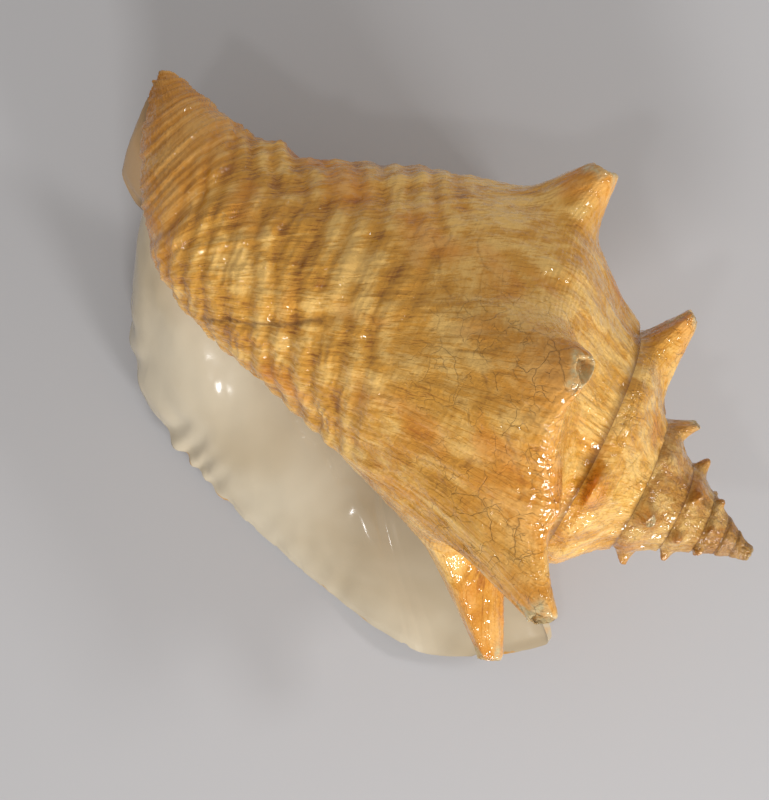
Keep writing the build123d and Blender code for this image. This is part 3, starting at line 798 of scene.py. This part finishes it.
def wall(node, a0, a1, u0, u1, step, finishes):
    """A piece of the coiled wall between two growth angles, its outside in full relief."""
    stride = 3
    spots = [s[0] for s in SPINES if s[3] > 5.0]
    a = lines(a0, a1, step, spots, 9.0, stride)
    u = lines(u0, u1, step / CURVE_LENGTH, [0.19], 0.035, stride)

    def surface(x, y):
        return place(*outside(x, y), x)

    top, top_normals = detailed(surface, lambda x, y: relief(x, y)[0], a, u, (0.0, 1.0))
    low, low_normals = detailed(
        lambda x, y: place(*inside(x, y), x), no_height, a[::stride], u[::stride], (0.0, 1.0))
    aa = a[:, None] + 0.0 * u
    uu = u[None, :] + 0.0 * a[:, None]
    marks = relief(aa, uu)[1]
    marks["worn"], marks["warm"] = tip_marks(aa, uu)
    piece = closed_piece(
        node + "_shell", top, top_normals, low, low_normals, stride, marks, growth_uv(aa, uu), finishes)
    seat(piece, node)
    return piece


def lip(node, u0, u1, finishes):
    """A piece of the flared lip: shell below, enamel above, a chipped rim."""
    v = lines(0.0, 1.0, LIP_STEP, [], 1.0, 1)
    u = lines(u0, u1, BODY_STEP / ROOT_LENGTH, [], 1.0, 1)

    def share(x, y):
        return np.clip(x, 0.0, 1.0) * (1.0 - rim_wear(y))

    def under_height(x, y):
        return relief(LIP_ROOT + LIP_TURN * x, y)[0] * (0.35 + 0.65 * ease(1.0 - x)) * ease((1.0 - x) / 0.1)

    def over_height(x, y):
        return -flutes(x, y) * ease(x / 0.1) * ease((y - 0.01) / 0.04) * ease((0.99 - y) / 0.04)

    under, under_normals = detailed(
        lambda x, y: lip_under(share(x, y), y), under_height, v, u, (0.0, 1.0))
    over, over_normals = detailed(
        lambda x, y: lip_over(share(x, y), y), over_height, v, u, (0.0, 1.0))
    vv = v[:, None] + 0.0 * u
    uu = u[None, :] + 0.0 * v[:, None]
    marks = relief(LIP_ROOT + LIP_TURN * vv, uu)[1]
    marks["worn"] = 0.0 * vv
    marks["warm"] = 0.0 * vv
    marks["rim"] = vv
    # The enamel turns darker and browner towards the canal lobe.
    marks["tan"] = ease((uu - 0.90) / 0.04)
    growth = growth_uv(LIP_ROOT + LIP_TURN * vv, uu)
    piece = closed_piece(
        node + "_shell", under, under_normals, over, over_normals, 1, marks, growth, finishes)
    seat(piece, node)
    return piece


GLAZE_MIDDLE = -133.0         # growth angle in the middle of the glaze
GLAZE_HALF_TURN = 32.0        # how far it reaches either way
GLAZE_TOP = 0.26              # shares of the generating curve where it starts and ends
GLAZE_FOOT = 0.78


def glaze(node, finish):
    """Thin glaze over the wall opposite the lip.  It thins out to its borders and narrows to
    rounded ends: its width is that of an oval, the root of 1 less the fourth power."""
    first, last = GLAZE_MIDDLE - GLAZE_HALF_TURN, GLAZE_MIDDLE + GLAZE_HALF_TURN
    a = lines(first, last, 0.8, [], 1.0, 3)
    u = lines(GLAZE_TOP, GLAZE_FOOT, 0.005, [], 1.0, 3)

    def narrowed(x, y):
        end = np.clip((2.0 * y - GLAZE_TOP - GLAZE_FOOT) / (GLAZE_FOOT - GLAZE_TOP), -1.0, 1.0)
        return GLAZE_MIDDLE + (x - GLAZE_MIDDLE) * (0.12 + 0.88 * np.sqrt(1.0 - end**4))

    def top_surface(x, y):
        turn = narrowed(x, y)
        w, r = outside(turn, y)
        middle = ease((y - GLAZE_TOP) / 0.05) * ease((GLAZE_FOOT - y) / 0.05)
        sides = ease((x - first) / 8.0) * ease((last - x) / 8.0)
        return place(w, r + FIT + CALLUS * (0.15 + 0.85 * middle * sides), turn)

    def bed(x, y):
        turn = narrowed(x, y)
        w, r = outside(turn, y)
        return place(w, r + FIT, turn)

    top, top_normals = detailed(top_surface, no_height, a, u, (0.0, 1.0))
    low, low_normals = detailed(bed, no_height, a[::3], u[::3], (0.0, 1.0))
    aa = a[:, None] + 0.0 * u
    uu = u[None, :] + 0.0 * a[:, None]
    piece = closed_piece(
        node + "_layer", top, top_normals, low, low_normals, 3, {}, growth_uv(aa, uu), [finish, finish])
    seat(piece, node)
    return piece


# ------------------------------------------------------------------ the cut apex
BLUNT_RADIUS = 2.55           # radius of the cut apex near its rim
BLUNT_FLARE = 0.75            # how much wider it is where it meets the first whorl
BLUNT_LENGTH = 4.2            # how far it reaches down over the first whorl
BLUNT_ROUND = 1.0             # how far its rim is rounded over
HOLE_RADIUS = 1.1             # radius of the blow hole
HOLE_DEPTH = 4.0              # depth of the blow hole down to the columella
BLUNT_RINGS = 90              # grid lines along its profile, and round it
BLUNT_SIDES = 120


def blunt_end(node, finish):
    """The cut apex: a rough rounded end turned about the axis, with the blow hole in it.  The
    profile runs up the outside, a quarter turn over the rim, down the hole and back."""
    t = np.linspace(0.0, 1.0, BLUNT_RINGS)[:, None] + np.zeros((1, BLUNT_SIDES))
    around = np.linspace(0.0, 2.0 * np.pi, BLUNT_SIDES + 1)[None, :-1] + 0.0 * t
    down = 1.0 - t / 0.45
    over = 0.5 * np.pi * ease((t - 0.45) / 0.30)
    w = BLUNT_LENGTH * np.clip(down, 0.0, 1.0) + BLUNT_ROUND * (1.0 - np.sin(over))
    w = w + HOLE_DEPTH * ease((t - 0.75) / 0.25)
    wide = BLUNT_RADIUS + BLUNT_FLARE * np.clip(down, 0.0, 1.0)
    r = HOLE_RADIUS + (wide - HOLE_RADIUS) * np.cos(over)
    x, y = 2.5 * np.cos(around), 2.5 * np.sin(around)
    grain = clouds(x + 5.0 * t, y + 3.0 * t, 101, 3)
    lumps = ease(cell_edges(1.6 * x + 7.0 * t, 1.6 * y, 103) / 0.4) - 0.6
    outer = ease((0.78 - t) / 0.12)
    r = r + outer * (0.28 * grain + 0.22 * lumps)
    w = np.maximum(w - 0.25 * outer * grain, 0.0)
    side = r * np.sin(around) + side_shift(w) - ORIGIN_SIDE
    points = np.stack([ORIGIN_W - w, side, r * np.cos(around) + AXIS_HEIGHT], axis=-1) / 1000.0
    i, j = np.meshgrid(np.arange(BLUNT_RINGS), np.arange(BLUNT_SIDES), indexing="ij")
    here, beyond = BLUNT_SIDES * i.ravel(), BLUNT_SIDES * ((i.ravel() + 1) % BLUNT_RINGS)
    left, right = j.ravel(), (j.ravel() + 1) % BLUNT_SIDES
    faces = np.stack([here + left, beyond + left, beyond + right, here + right], axis=1)
    mesh = bpy.data.meshes.new(node + "_end")
    mesh.from_pydata(points.reshape(-1, 3).tolist(), [], faces.tolist())
    mesh.polygons.foreach_set("use_smooth", np.ones(len(faces), bool))
    growth = np.stack([30.0 * around / np.pi, 3.0 * t], axis=-1).reshape(-1, 2)[faces.ravel()]
    mesh.uv_layers.new(name="growth").data.foreach_set("uv", growth.astype(np.float32).ravel())
    marks = {
        "cord": 0.5 + 0.5 * grain,
        "worn": 0.55 * ease((t - 0.42) / 0.15) * outer,
        # Painted shade: the seam mark darkens the inside of the blow hole.
        "seam": ease((t - 0.76) / 0.05),
        "fold": 0.5 + 0.5 * grain,
    }
    for mark, value in marks.items():
        layer = mesh.attributes.new(mark, "FLOAT", "POINT")
        layer.data.foreach_set("value", value.astype(np.float32).ravel())
    mesh.materials.append(finish)
    piece = bpy.data.objects.new(node + "_end", mesh)
    bpy.context.scene.collection.objects.link(piece)
    seat(piece, node)
    return piece


# ------------------------------------------------------------------ materials
def srgb(r, g, b):
    """A colour given as 0 to 255 in sRGB, as Blender's linear RGBA."""
    def linear(c):
        c = c / 255.0
        return c / 12.92 if c <= 0.04045 else ((c + 0.055) / 1.055) ** 2.4
    return (linear(r), linear(g), linear(b), 1.0)


class Nodes:
    """Short hand for building a node tree: each call adds one node and links its inputs."""

    def __init__(self, tree):
        self.tree = tree
        self.x = 0

    def add(self, kind, inputs=None, **settings):
        node = self.tree.nodes.new(kind)
        self.x += 180
        node.location = (self.x, 0)
        for key, value in settings.items():
            setattr(node, key, value)
        for key, value in (inputs or {}).items():
            self.put(node.inputs[key], value)
        return node

    def put(self, socket, value):
        if isinstance(value, bpy.types.NodeSocket):
            self.tree.links.new(value, socket)
        else:
            socket.default_value = value

    def math(self, operation, a, b=0.0, c=0.0):
        node = self.add("ShaderNodeMath", {0: a, 1: b, 2: c}, operation=operation)
        return node.outputs[0]

    def ramp(self, value, lo, hi):
        """0 below lo, 1 above hi, smooth between."""
        node = self.add("ShaderNodeMapRange", {"Value": value, "From Min": lo, "From Max": hi},
                        interpolation_type="SMOOTHSTEP")
        return node.outputs["Result"]

    def mix(self, factor, a, b, blend="MIX"):
        node = self.add("ShaderNodeMix", data_type="RGBA", blend_type=blend)
        self.put(node.inputs[0], factor)
        self.put(node.inputs[6], a)
        self.put(node.inputs[7], b)
        return node.outputs[2]

    def noise(self, vector, scale, detail=2.0, roughness=0.5, distortion=0.0, dimensions="3D"):
        node = self.add("ShaderNodeTexNoise", {
            "Vector": vector, "Scale": scale, "Detail": detail, "Roughness": roughness,
            "Distortion": distortion}, noise_dimensions=dimensions)
        return node.outputs["Fac"]

    def scaled(self, vector, x, y, z=1.0):
        node = self.add("ShaderNodeMapping", {"Vector": vector, "Scale": (x, y, z)})
        return node.outputs["Vector"]

    def mark(self, name):
        return self.add("ShaderNodeAttribute", attribute_name=name, attribute_type="GEOMETRY").outputs["Fac"]


def group(name, inputs, outputs):
    """A new shader node group with named inputs and outputs."""
    tree = bpy.data.node_groups.new(name, "ShaderNodeTree")
    for label, kind, default in inputs:
        socket = tree.interface.new_socket(name=label, in_out="INPUT", socket_type=kind)
        if default is not None:
            socket.default_value = default
    for label, kind in outputs:
        tree.interface.new_socket(name=label, in_out="OUTPUT", socket_type=kind)
    n = Nodes(tree)
    entry = tree.nodes.new("NodeGroupInput")
    leave = tree.nodes.new("NodeGroupOutput")
    leave.location = (3000, 0)
    return tree, n, entry.outputs, leave.inputs


def growth_streaks():
    """Streaks along the growth lines: short dark dashes, long bands and a fine grain; and fine
    threads that run round the turn across them."""
    tree, n, given, out = group(
        "growth streaks",
        [("Growth", "NodeSocketVector", None)],
        [("Dashes", "NodeSocketFloat"), ("Bands", "NodeSocketFloat"), ("Grain", "NodeSocketFloat"),
         ("Threads", "NodeSocketFloat")])
    at = given["Growth"]
    dashes = n.noise(n.scaled(at, 9.5, 2.0), 1.0, 3.0, 0.6, 0.4, "2D")
    often = n.noise(n.scaled(at, 1.6, 1.1), 1.0, 2.0, 0.5, 0.3, "2D")
    bands = n.noise(n.scaled(at, 1.3, 0.75), 1.0, 3.0, 0.55, 0.5, "2D")
    grain = n.noise(n.scaled(at, 26.0, 7.0), 1.0, 2.0, 0.6, 0.0, "2D")
    threads = n.noise(n.scaled(at, 0.6, 11.0), 1.0, 2.0, 0.6, 0.2, "2D")
    few = n.math("MULTIPLY_ADD", n.ramp(often, 0.35, 0.62), -0.10, dashes)
    n.put(out["Dashes"], n.ramp(few, 0.44, 0.62))
    n.put(out["Threads"], threads)
    n.put(out["Bands"], n.ramp(bands, 0.36, 0.66))
    n.put(out["Grain"], grain)
    return tree


def varnish_skin():
    """Small pits and drops in the varnish, as a height."""
    tree, n, given, out = group(
        "varnish skin",
        [("Place", "NodeSocketVector", None), ("Amount", "NodeSocketFloat", 0.5)],
        [("Grit", "NodeSocketFloat")])
    pits = n.noise(given["Place"], 900.0, 3.0, 0.6)
    n.put(out["Grit"], n.math("MULTIPLY", n.ramp(pits, 0.35, 0.75), given["Amount"]))
    return tree


def crazing():
    """Fine broken lines between irregular cells, as old thick varnish crazes."""
    tree, n, given, out = group(
        "crazing", [("Place", "NodeSocketVector", None), ("Amount", "NodeSocketFloat", 1.0)],
        [("Lines", "NodeSocketFloat")])
    bend = n.add("ShaderNodeTexNoise", {"Vector": given["Place"], "Scale": 160.0, "Detail": 2.0})
    push = n.add("ShaderNodeVectorMath", {0: bend.outputs["Color"], "Scale": 0.006}, operation="SCALE")
    at = n.add("ShaderNodeVectorMath", {0: given["Place"], 1: push.outputs["Vector"]}, operation="ADD")
    total = 0.0
    for scale, width in ((105.0, 0.022), (230.0, 0.020)):
        cells = n.add("ShaderNodeTexVoronoi", {"Vector": at.outputs["Vector"], "Scale": scale},
                      feature="DISTANCE_TO_EDGE")
        line = n.math("SUBTRACT", 1.0, n.ramp(cells.outputs["Distance"], 0.0, width))
        broken = n.ramp(n.noise(given["Place"], scale * 0.7, 1.0), 0.46, 0.58)
        total = n.math("MAXIMUM", total, n.math("MULTIPLY", line, broken))
    n.put(out["Lines"], n.math("MULTIPLY", total, given["Amount"]))
    return tree


STREAKS = growth_streaks()
SKIN = varnish_skin()
CRAZING = crazing()


def use(n, tree, **inputs):
    node = n.add("ShaderNodeGroup", node_tree=tree)
    for label, value in inputs.items():
        n.put(node.inputs[label], value)
    return node.outputs


def new_material(name):
    material = bpy.data.materials.new(name)
    material.use_nodes = True
    material.node_tree.nodes.clear()
    n = Nodes(material.node_tree)
    shader = n.add("ShaderNodeBsdfPrincipled")
    leave = n.add("ShaderNodeOutputMaterial", {"Surface": shader.outputs["BSDF"]})
    leave.location = (4000, 0)
    return material, n, shader


def growth_vector(n):
    return n.add("ShaderNodeUVMap", uv_map="growth").outputs["UV"]


def varnished_shell(name, pale, mid, dark, amber, grit):
    """The varnished outside: pale cords, brown grooves, dashes along the growth lines, dark
    cracks, orange spines and white broken tips, under a clear glossy coat."""
    material, n, shader = new_material(name)
    streaks = use(n, STREAKS, Growth=growth_vector(n))
    place_on = n.add("ShaderNodeTexCoord").outputs["Object"]
    skin = use(n, SKIN, Place=place_on, Amount=grit)
    crazed = use(n, CRAZING, Place=place_on, Amount=n.mark("crazed"))["Lines"]
    patches = n.noise(place_on, 62.0, 3.0, 0.5, 0.7)

    lightness = n.math("MULTIPLY_ADD", n.mark("cord"), 0.34, 0.02)
    lightness = n.math("MULTIPLY_ADD", n.ramp(patches, 0.36, 0.64), 0.42, lightness)
    lightness = n.math("MULTIPLY_ADD", streaks["Bands"], 0.34, lightness)
    lightness = n.math("MULTIPLY_ADD", n.mark("fold"), 0.30, lightness)
    plain = n.math("SUBTRACT", 1.0, n.math("MULTIPLY", n.mark("canal"), 0.7))
    dashes = n.math("MULTIPLY", streaks["Dashes"], plain)
    lightness = n.math("MULTIPLY_ADD", dashes, -0.26, lightness)
    lightness = n.math("MULTIPLY_ADD", streaks["Threads"], 0.30, n.math("SUBTRACT", lightness, 0.13))
    lightness = n.math("MULTIPLY_ADD", streaks["Grain"], 0.14, n.math("SUBTRACT", lightness, 0.12))
    colour = n.mix(n.ramp(lightness, -0.05, 0.55), dark, mid)
    colour = n.mix(n.ramp(lightness, 0.50, 1.10), colour, pale)
    tint = n.ramp(n.noise(place_on, 45.0, 2.0, 0.5, 0.5), 0.52, 0.72)
    colour = n.mix(n.math("MULTIPLY", tint, 0.40), colour, amber)
    colour = n.mix(n.math("MULTIPLY", n.mark("warm"), 0.35), colour, amber)
    colour = n.mix(n.math("MULTIPLY", n.mark("canal"), 0.30), colour, amber)
    # Dark brown over the cracks, the growth scar and the crazing, which the varnish really has, and painted
    # shade along the whorl seams and down the blow hole from the seam mark.
    shade = n.math("MULTIPLY", n.mark("crack"), 0.65)
    shade = n.math("MAXIMUM", shade, n.math("MULTIPLY", n.mark("scar"), 0.6))
    shade = n.math("MAXIMUM", shade, n.math("MULTIPLY", crazed, 0.20))
    shade = n.math("MAXIMUM", shade, n.math("MULTIPLY", n.mark("seam"), 0.7))
    colour = n.mix(shade, colour, srgb(98, 54, 10))
    crust = n.ramp(n.noise(place_on, 420.0, 3.0, 0.7), 0.38, 0.62)
    worn = n.math("MULTIPLY", n.mark("worn"), n.math("MULTIPLY_ADD", crust, 0.6, 0.4))
    colour = n.mix(worn, colour, srgb(212, 190, 140))
    colour = n.mix(n.ramp(n.mark("rim"), 0.90, 0.97), colour, srgb(214, 196, 158))

    height = n.math("MULTIPLY_ADD", streaks["Grain"], 0.4, skin["Grit"])
    height = n.math("MULTIPLY_ADD", dashes, -0.35, height)
    height = n.math("MULTIPLY_ADD", crazed, -1.2, height)
    bump = n.add("ShaderNodeBump", {"Height": height, "Distance": 0.00025, "Strength": 1.0})
    drops = n.noise(place_on, 330.0, 1.0, 0.4)
    film = n.add("ShaderNodeBump", {"Height": drops, "Distance": 0.0013, "Strength": 1.0})
    n.put(shader.inputs["Base Color"], colour)
    n.put(shader.inputs["Roughness"], n.math("MULTIPLY_ADD", n.mark("worn"), 0.3, 0.45))
    n.put(shader.inputs["Normal"], bump.outputs["Normal"])
    n.put(shader.inputs["Coat Normal"], film.outputs["Normal"])
    shader.inputs["Specular IOR Level"].default_value = 0.15
    shader.inputs["Coat Weight"].default_value = 1.0
    shader.inputs["Coat Roughness"].default_value = 0.03
    shader.inputs["Coat IOR"].default_value = 1.5
    return material


def enamel(name, colour, shade, patched):
    """The glossy inner face: cream porcelain, faint clouds, and worn golden patches at the rim."""
    material, n, shader = new_material(name)
    place_on = n.add("ShaderNodeTexCoord").outputs["Object"]
    cloud = n.ramp(n.noise(place_on, 18.0, 3.0, 0.5, 0.3), 0.35, 0.70)
    tone = n.mix(cloud, colour, shade)
    if patched:
        spots = n.noise(place_on, 60.0, 3.0, 0.6, 0.5)
        edge = n.ramp(n.mark("rim"), 0.955, 0.998)
        gold = n.ramp(n.math("MULTIPLY_ADD", edge, 0.30, spots), 0.82, 0.92)
        tone = n.mix(n.math("MULTIPLY", gold, 0.85), tone, srgb(196, 136, 40))
        # Darker, browner enamel towards the canal lobe.
        tone = n.mix(n.mark("tan"), tone, srgb(178, 144, 102))
    swell = n.noise(place_on, 90.0, 2.0, 0.5)
    bump = n.add("ShaderNodeBump", {"Height": swell, "Distance": 0.0006, "Strength": 0.35})
    n.put(shader.inputs["Base Color"], tone)
    n.put(shader.inputs["Roughness"], n.math("MULTIPLY_ADD", n.noise(place_on, 40.0, 2.0), 0.10, 0.07))
    n.put(shader.inputs["Normal"], bump.outputs["Normal"])
    shader.inputs["IOR"].default_value = 1.5
    return material


BODY_FINISH = varnished_shell(
    "varnished_body", srgb(246, 196, 108), srgb(218, 154, 52), srgb(160, 97, 15), srgb(220, 124, 14), 0.5)
SPIRE_FINISH = varnished_shell(
    "varnished_spire", srgb(230, 184, 104), srgb(196, 138, 56), srgb(136, 80, 18), srgb(200, 116, 26), 1.1)
LIP_ENAMEL = enamel("lip_enamel", srgb(206, 192, 166), srgb(184, 166, 136), True)
THROAT_ENAMEL = enamel("throat_enamel", srgb(222, 198, 168), srgb(204, 168, 134), False)


# ------------------------------------------------------------------ the pieces
BODY_WALLS = [
    ("inner_wall_behind_aperture", -195.0, APERTURE_EDGE),
    ("body_wall_spine_one", APERTURE_EDGE, -71.0),
    ("body_wall_spine_two", -71.0, -20.0),
    ("body_wall_spine_three", -20.0, 42.0),
    ("body_wall_spine_four", 42.0, 108.0),
    ("body_wall_spine_five", 108.0, 168.0),
    ("body_wall_spine_six", 168.0, LIP_ROOT),
]
CANAL_WALLS = [
    ("canal_wall_inner", -195.0, -71.0),
    ("canal_wall_top", -71.0, 60.0),
    ("canal_wall_under", 60.0, LIP_ROOT),
]
SECOND_WHORL = [
    ("second_whorl_right", -480.0, -375.0),
    ("second_whorl_top", -375.0, -315.0),
    ("second_whorl_spine_left", -315.0, -252.0),
    ("second_whorl_spine_back", -252.0, -195.0),
]
SPIRE = [
    ("spire_tip_whorls", EARLIEST, -1890.0),
    ("spire_whorl_six", -1890.0, -1530.0),
    ("spire_whorl_five", -1530.0, -1170.0),
    ("spire_whorl_four", -1170.0, -810.0),
    ("spire_whorl_three_rear", -810.0, -630.0),
    ("spire_whorl_three_front", -630.0, -480.0),
]
LIP_PIECES = [
    ("lip_rear_lobe", 0.0, 0.22),
    ("lip_middle", 0.22, 0.60),
    ("lip_front", 0.60, LIP_NOTCH),
    ("lip_canal_lobe", LIP_NOTCH, 1.0),
]


def build():
    for node, a0, a1 in BODY_WALLS:
        wall(node, a0, a1, 0.0, CANAL_U, BODY_STEP, [BODY_FINISH, THROAT_ENAMEL])
    for node, a0, a1 in CANAL_WALLS:
        wall(node, a0, a1, CANAL_U, 1.0, BODY_STEP, [BODY_FINISH, THROAT_ENAMEL])
    for node, a0, a1 in SECOND_WHORL:
        wall(node, a0, a1, 0.0, 1.0, 0.75, [BODY_FINISH, THROAT_ENAMEL])
    for node, a0, a1 in SPIRE:
        wall(node, a0, a1, 0.0, 1.0, 1.25, [SPIRE_FINISH, THROAT_ENAMEL])
    for node, u0, u1 in LIP_PIECES:
        lip(node, u0, u1, [BODY_FINISH, LIP_ENAMEL])
    glaze("aperture_glaze", THROAT_ENAMEL)
    blunt_end("apex_rim", SPIRE_FINISH)
    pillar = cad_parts["columella"]
    pillar.data.materials.clear()
    pillar.data.materials.append(THROAT_ENAMEL)


build()


# ------------------------------------------------------------------ floor, light and camera
CAMERA_TURN = 32.0            # how far the camera is turned about the vertical
CAMERA_W = 117.6              # where it stands along the coiling axis
CAMERA_SIDE = -18.7           # where it stands to the side of it
CAMERA_HEIGHT = 500.0         # how far it is above it
LAMP_DISTANCE = 1.3           # distance of each lamp from the shell, m
LAMP_AIM = 0.06               # height of the point the lamps are aimed at, m
DAYLIGHT = (0.97, 0.98, 1.0)


def floor():
    """A pale floor, wide enough to fill every view."""
    side = 6.0
    mesh = bpy.data.meshes.new("floor")
    corners = [(-side, -side, 0.0), (side, -side, 0.0), (side, side, 0.0), (-side, side, 0.0)]
    mesh.from_pydata(corners, [], [(0, 1, 2, 3)])
    piece = bpy.data.objects.new("floor", mesh)
    bpy.context.scene.collection.objects.link(piece)
    material, n, shader = new_material("pale_cloth")
    n.put(shader.inputs["Base Color"], srgb(192, 190, 190))
    shader.inputs["Roughness"].default_value = 0.9
    mesh.materials.append(material)


def lamp(name, right, down, power, wide, tall):
    """A soft light aimed at the middle of the shell.  right and down tell where it stands, in
    degrees from straight above, as the camera sees it."""
    off = math.hypot(right, down)
    turn = math.radians(CAMERA_TURN)
    across = math.sin(math.radians(off)) * right / off
    along = -math.sin(math.radians(off)) * down / off
    toward = Vector((across * math.cos(turn) - along * math.sin(turn),
                        across * math.sin(turn) + along * math.cos(turn), math.cos(math.radians(off))))
    data = bpy.data.lights.new(name, "AREA")
    data.shape = "RECTANGLE"
    data.size = wide
    data.size_y = tall
    data.energy = power
    data.color = DAYLIGHT
    piece = bpy.data.objects.new(name, data)
    piece.location = Vector((0.0, 0.0, LAMP_AIM)) + LAMP_DISTANCE * toward
    piece.rotation_euler = toward.to_track_quat("Z", "Y").to_euler()
    bpy.context.scene.collection.objects.link(piece)


def camera():
    """Straight down, turned so that the spire points to the lower right."""
    data = bpy.data.cameras.new("camera")
    data.lens = 75.0
    data.sensor_width = 36.0
    data.clip_end = 20.0
    piece = bpy.data.objects.new("camera", data)
    above = (ORIGIN_W - CAMERA_W, CAMERA_SIDE - ORIGIN_SIDE, AXIS_HEIGHT + CAMERA_HEIGHT)
    piece.location = Vector(above) / 1000.0
    piece.rotation_euler = (0.0, 0.0, math.radians(CAMERA_TURN))
    bpy.context.scene.collection.objects.link(piece)
    bpy.context.scene.camera = piece


def surroundings():
    world = bpy.data.worlds.new("room")
    world.use_nodes = True
    backdrop = world.node_tree.nodes["Background"]
    backdrop.inputs["Color"].default_value = srgb(226, 224, 222)
    backdrop.inputs["Strength"].default_value = 0.52
    bpy.context.scene.world = world


floor()
lamp("front_window", 0.0, 62.0, 7.5, 0.30, 0.20)
lamp("corner_window", 42.0, 58.0, 7.5, 0.30, 0.20)
lamp("side_window", 47.0, -13.0, 3.4, 0.22, 0.18)
lamp("high_window", -14.0, 16.0, 1.0, 0.10, 0.08)
camera()
surroundings()
bpy.context.scene.view_settings.view_transform = "Standard"
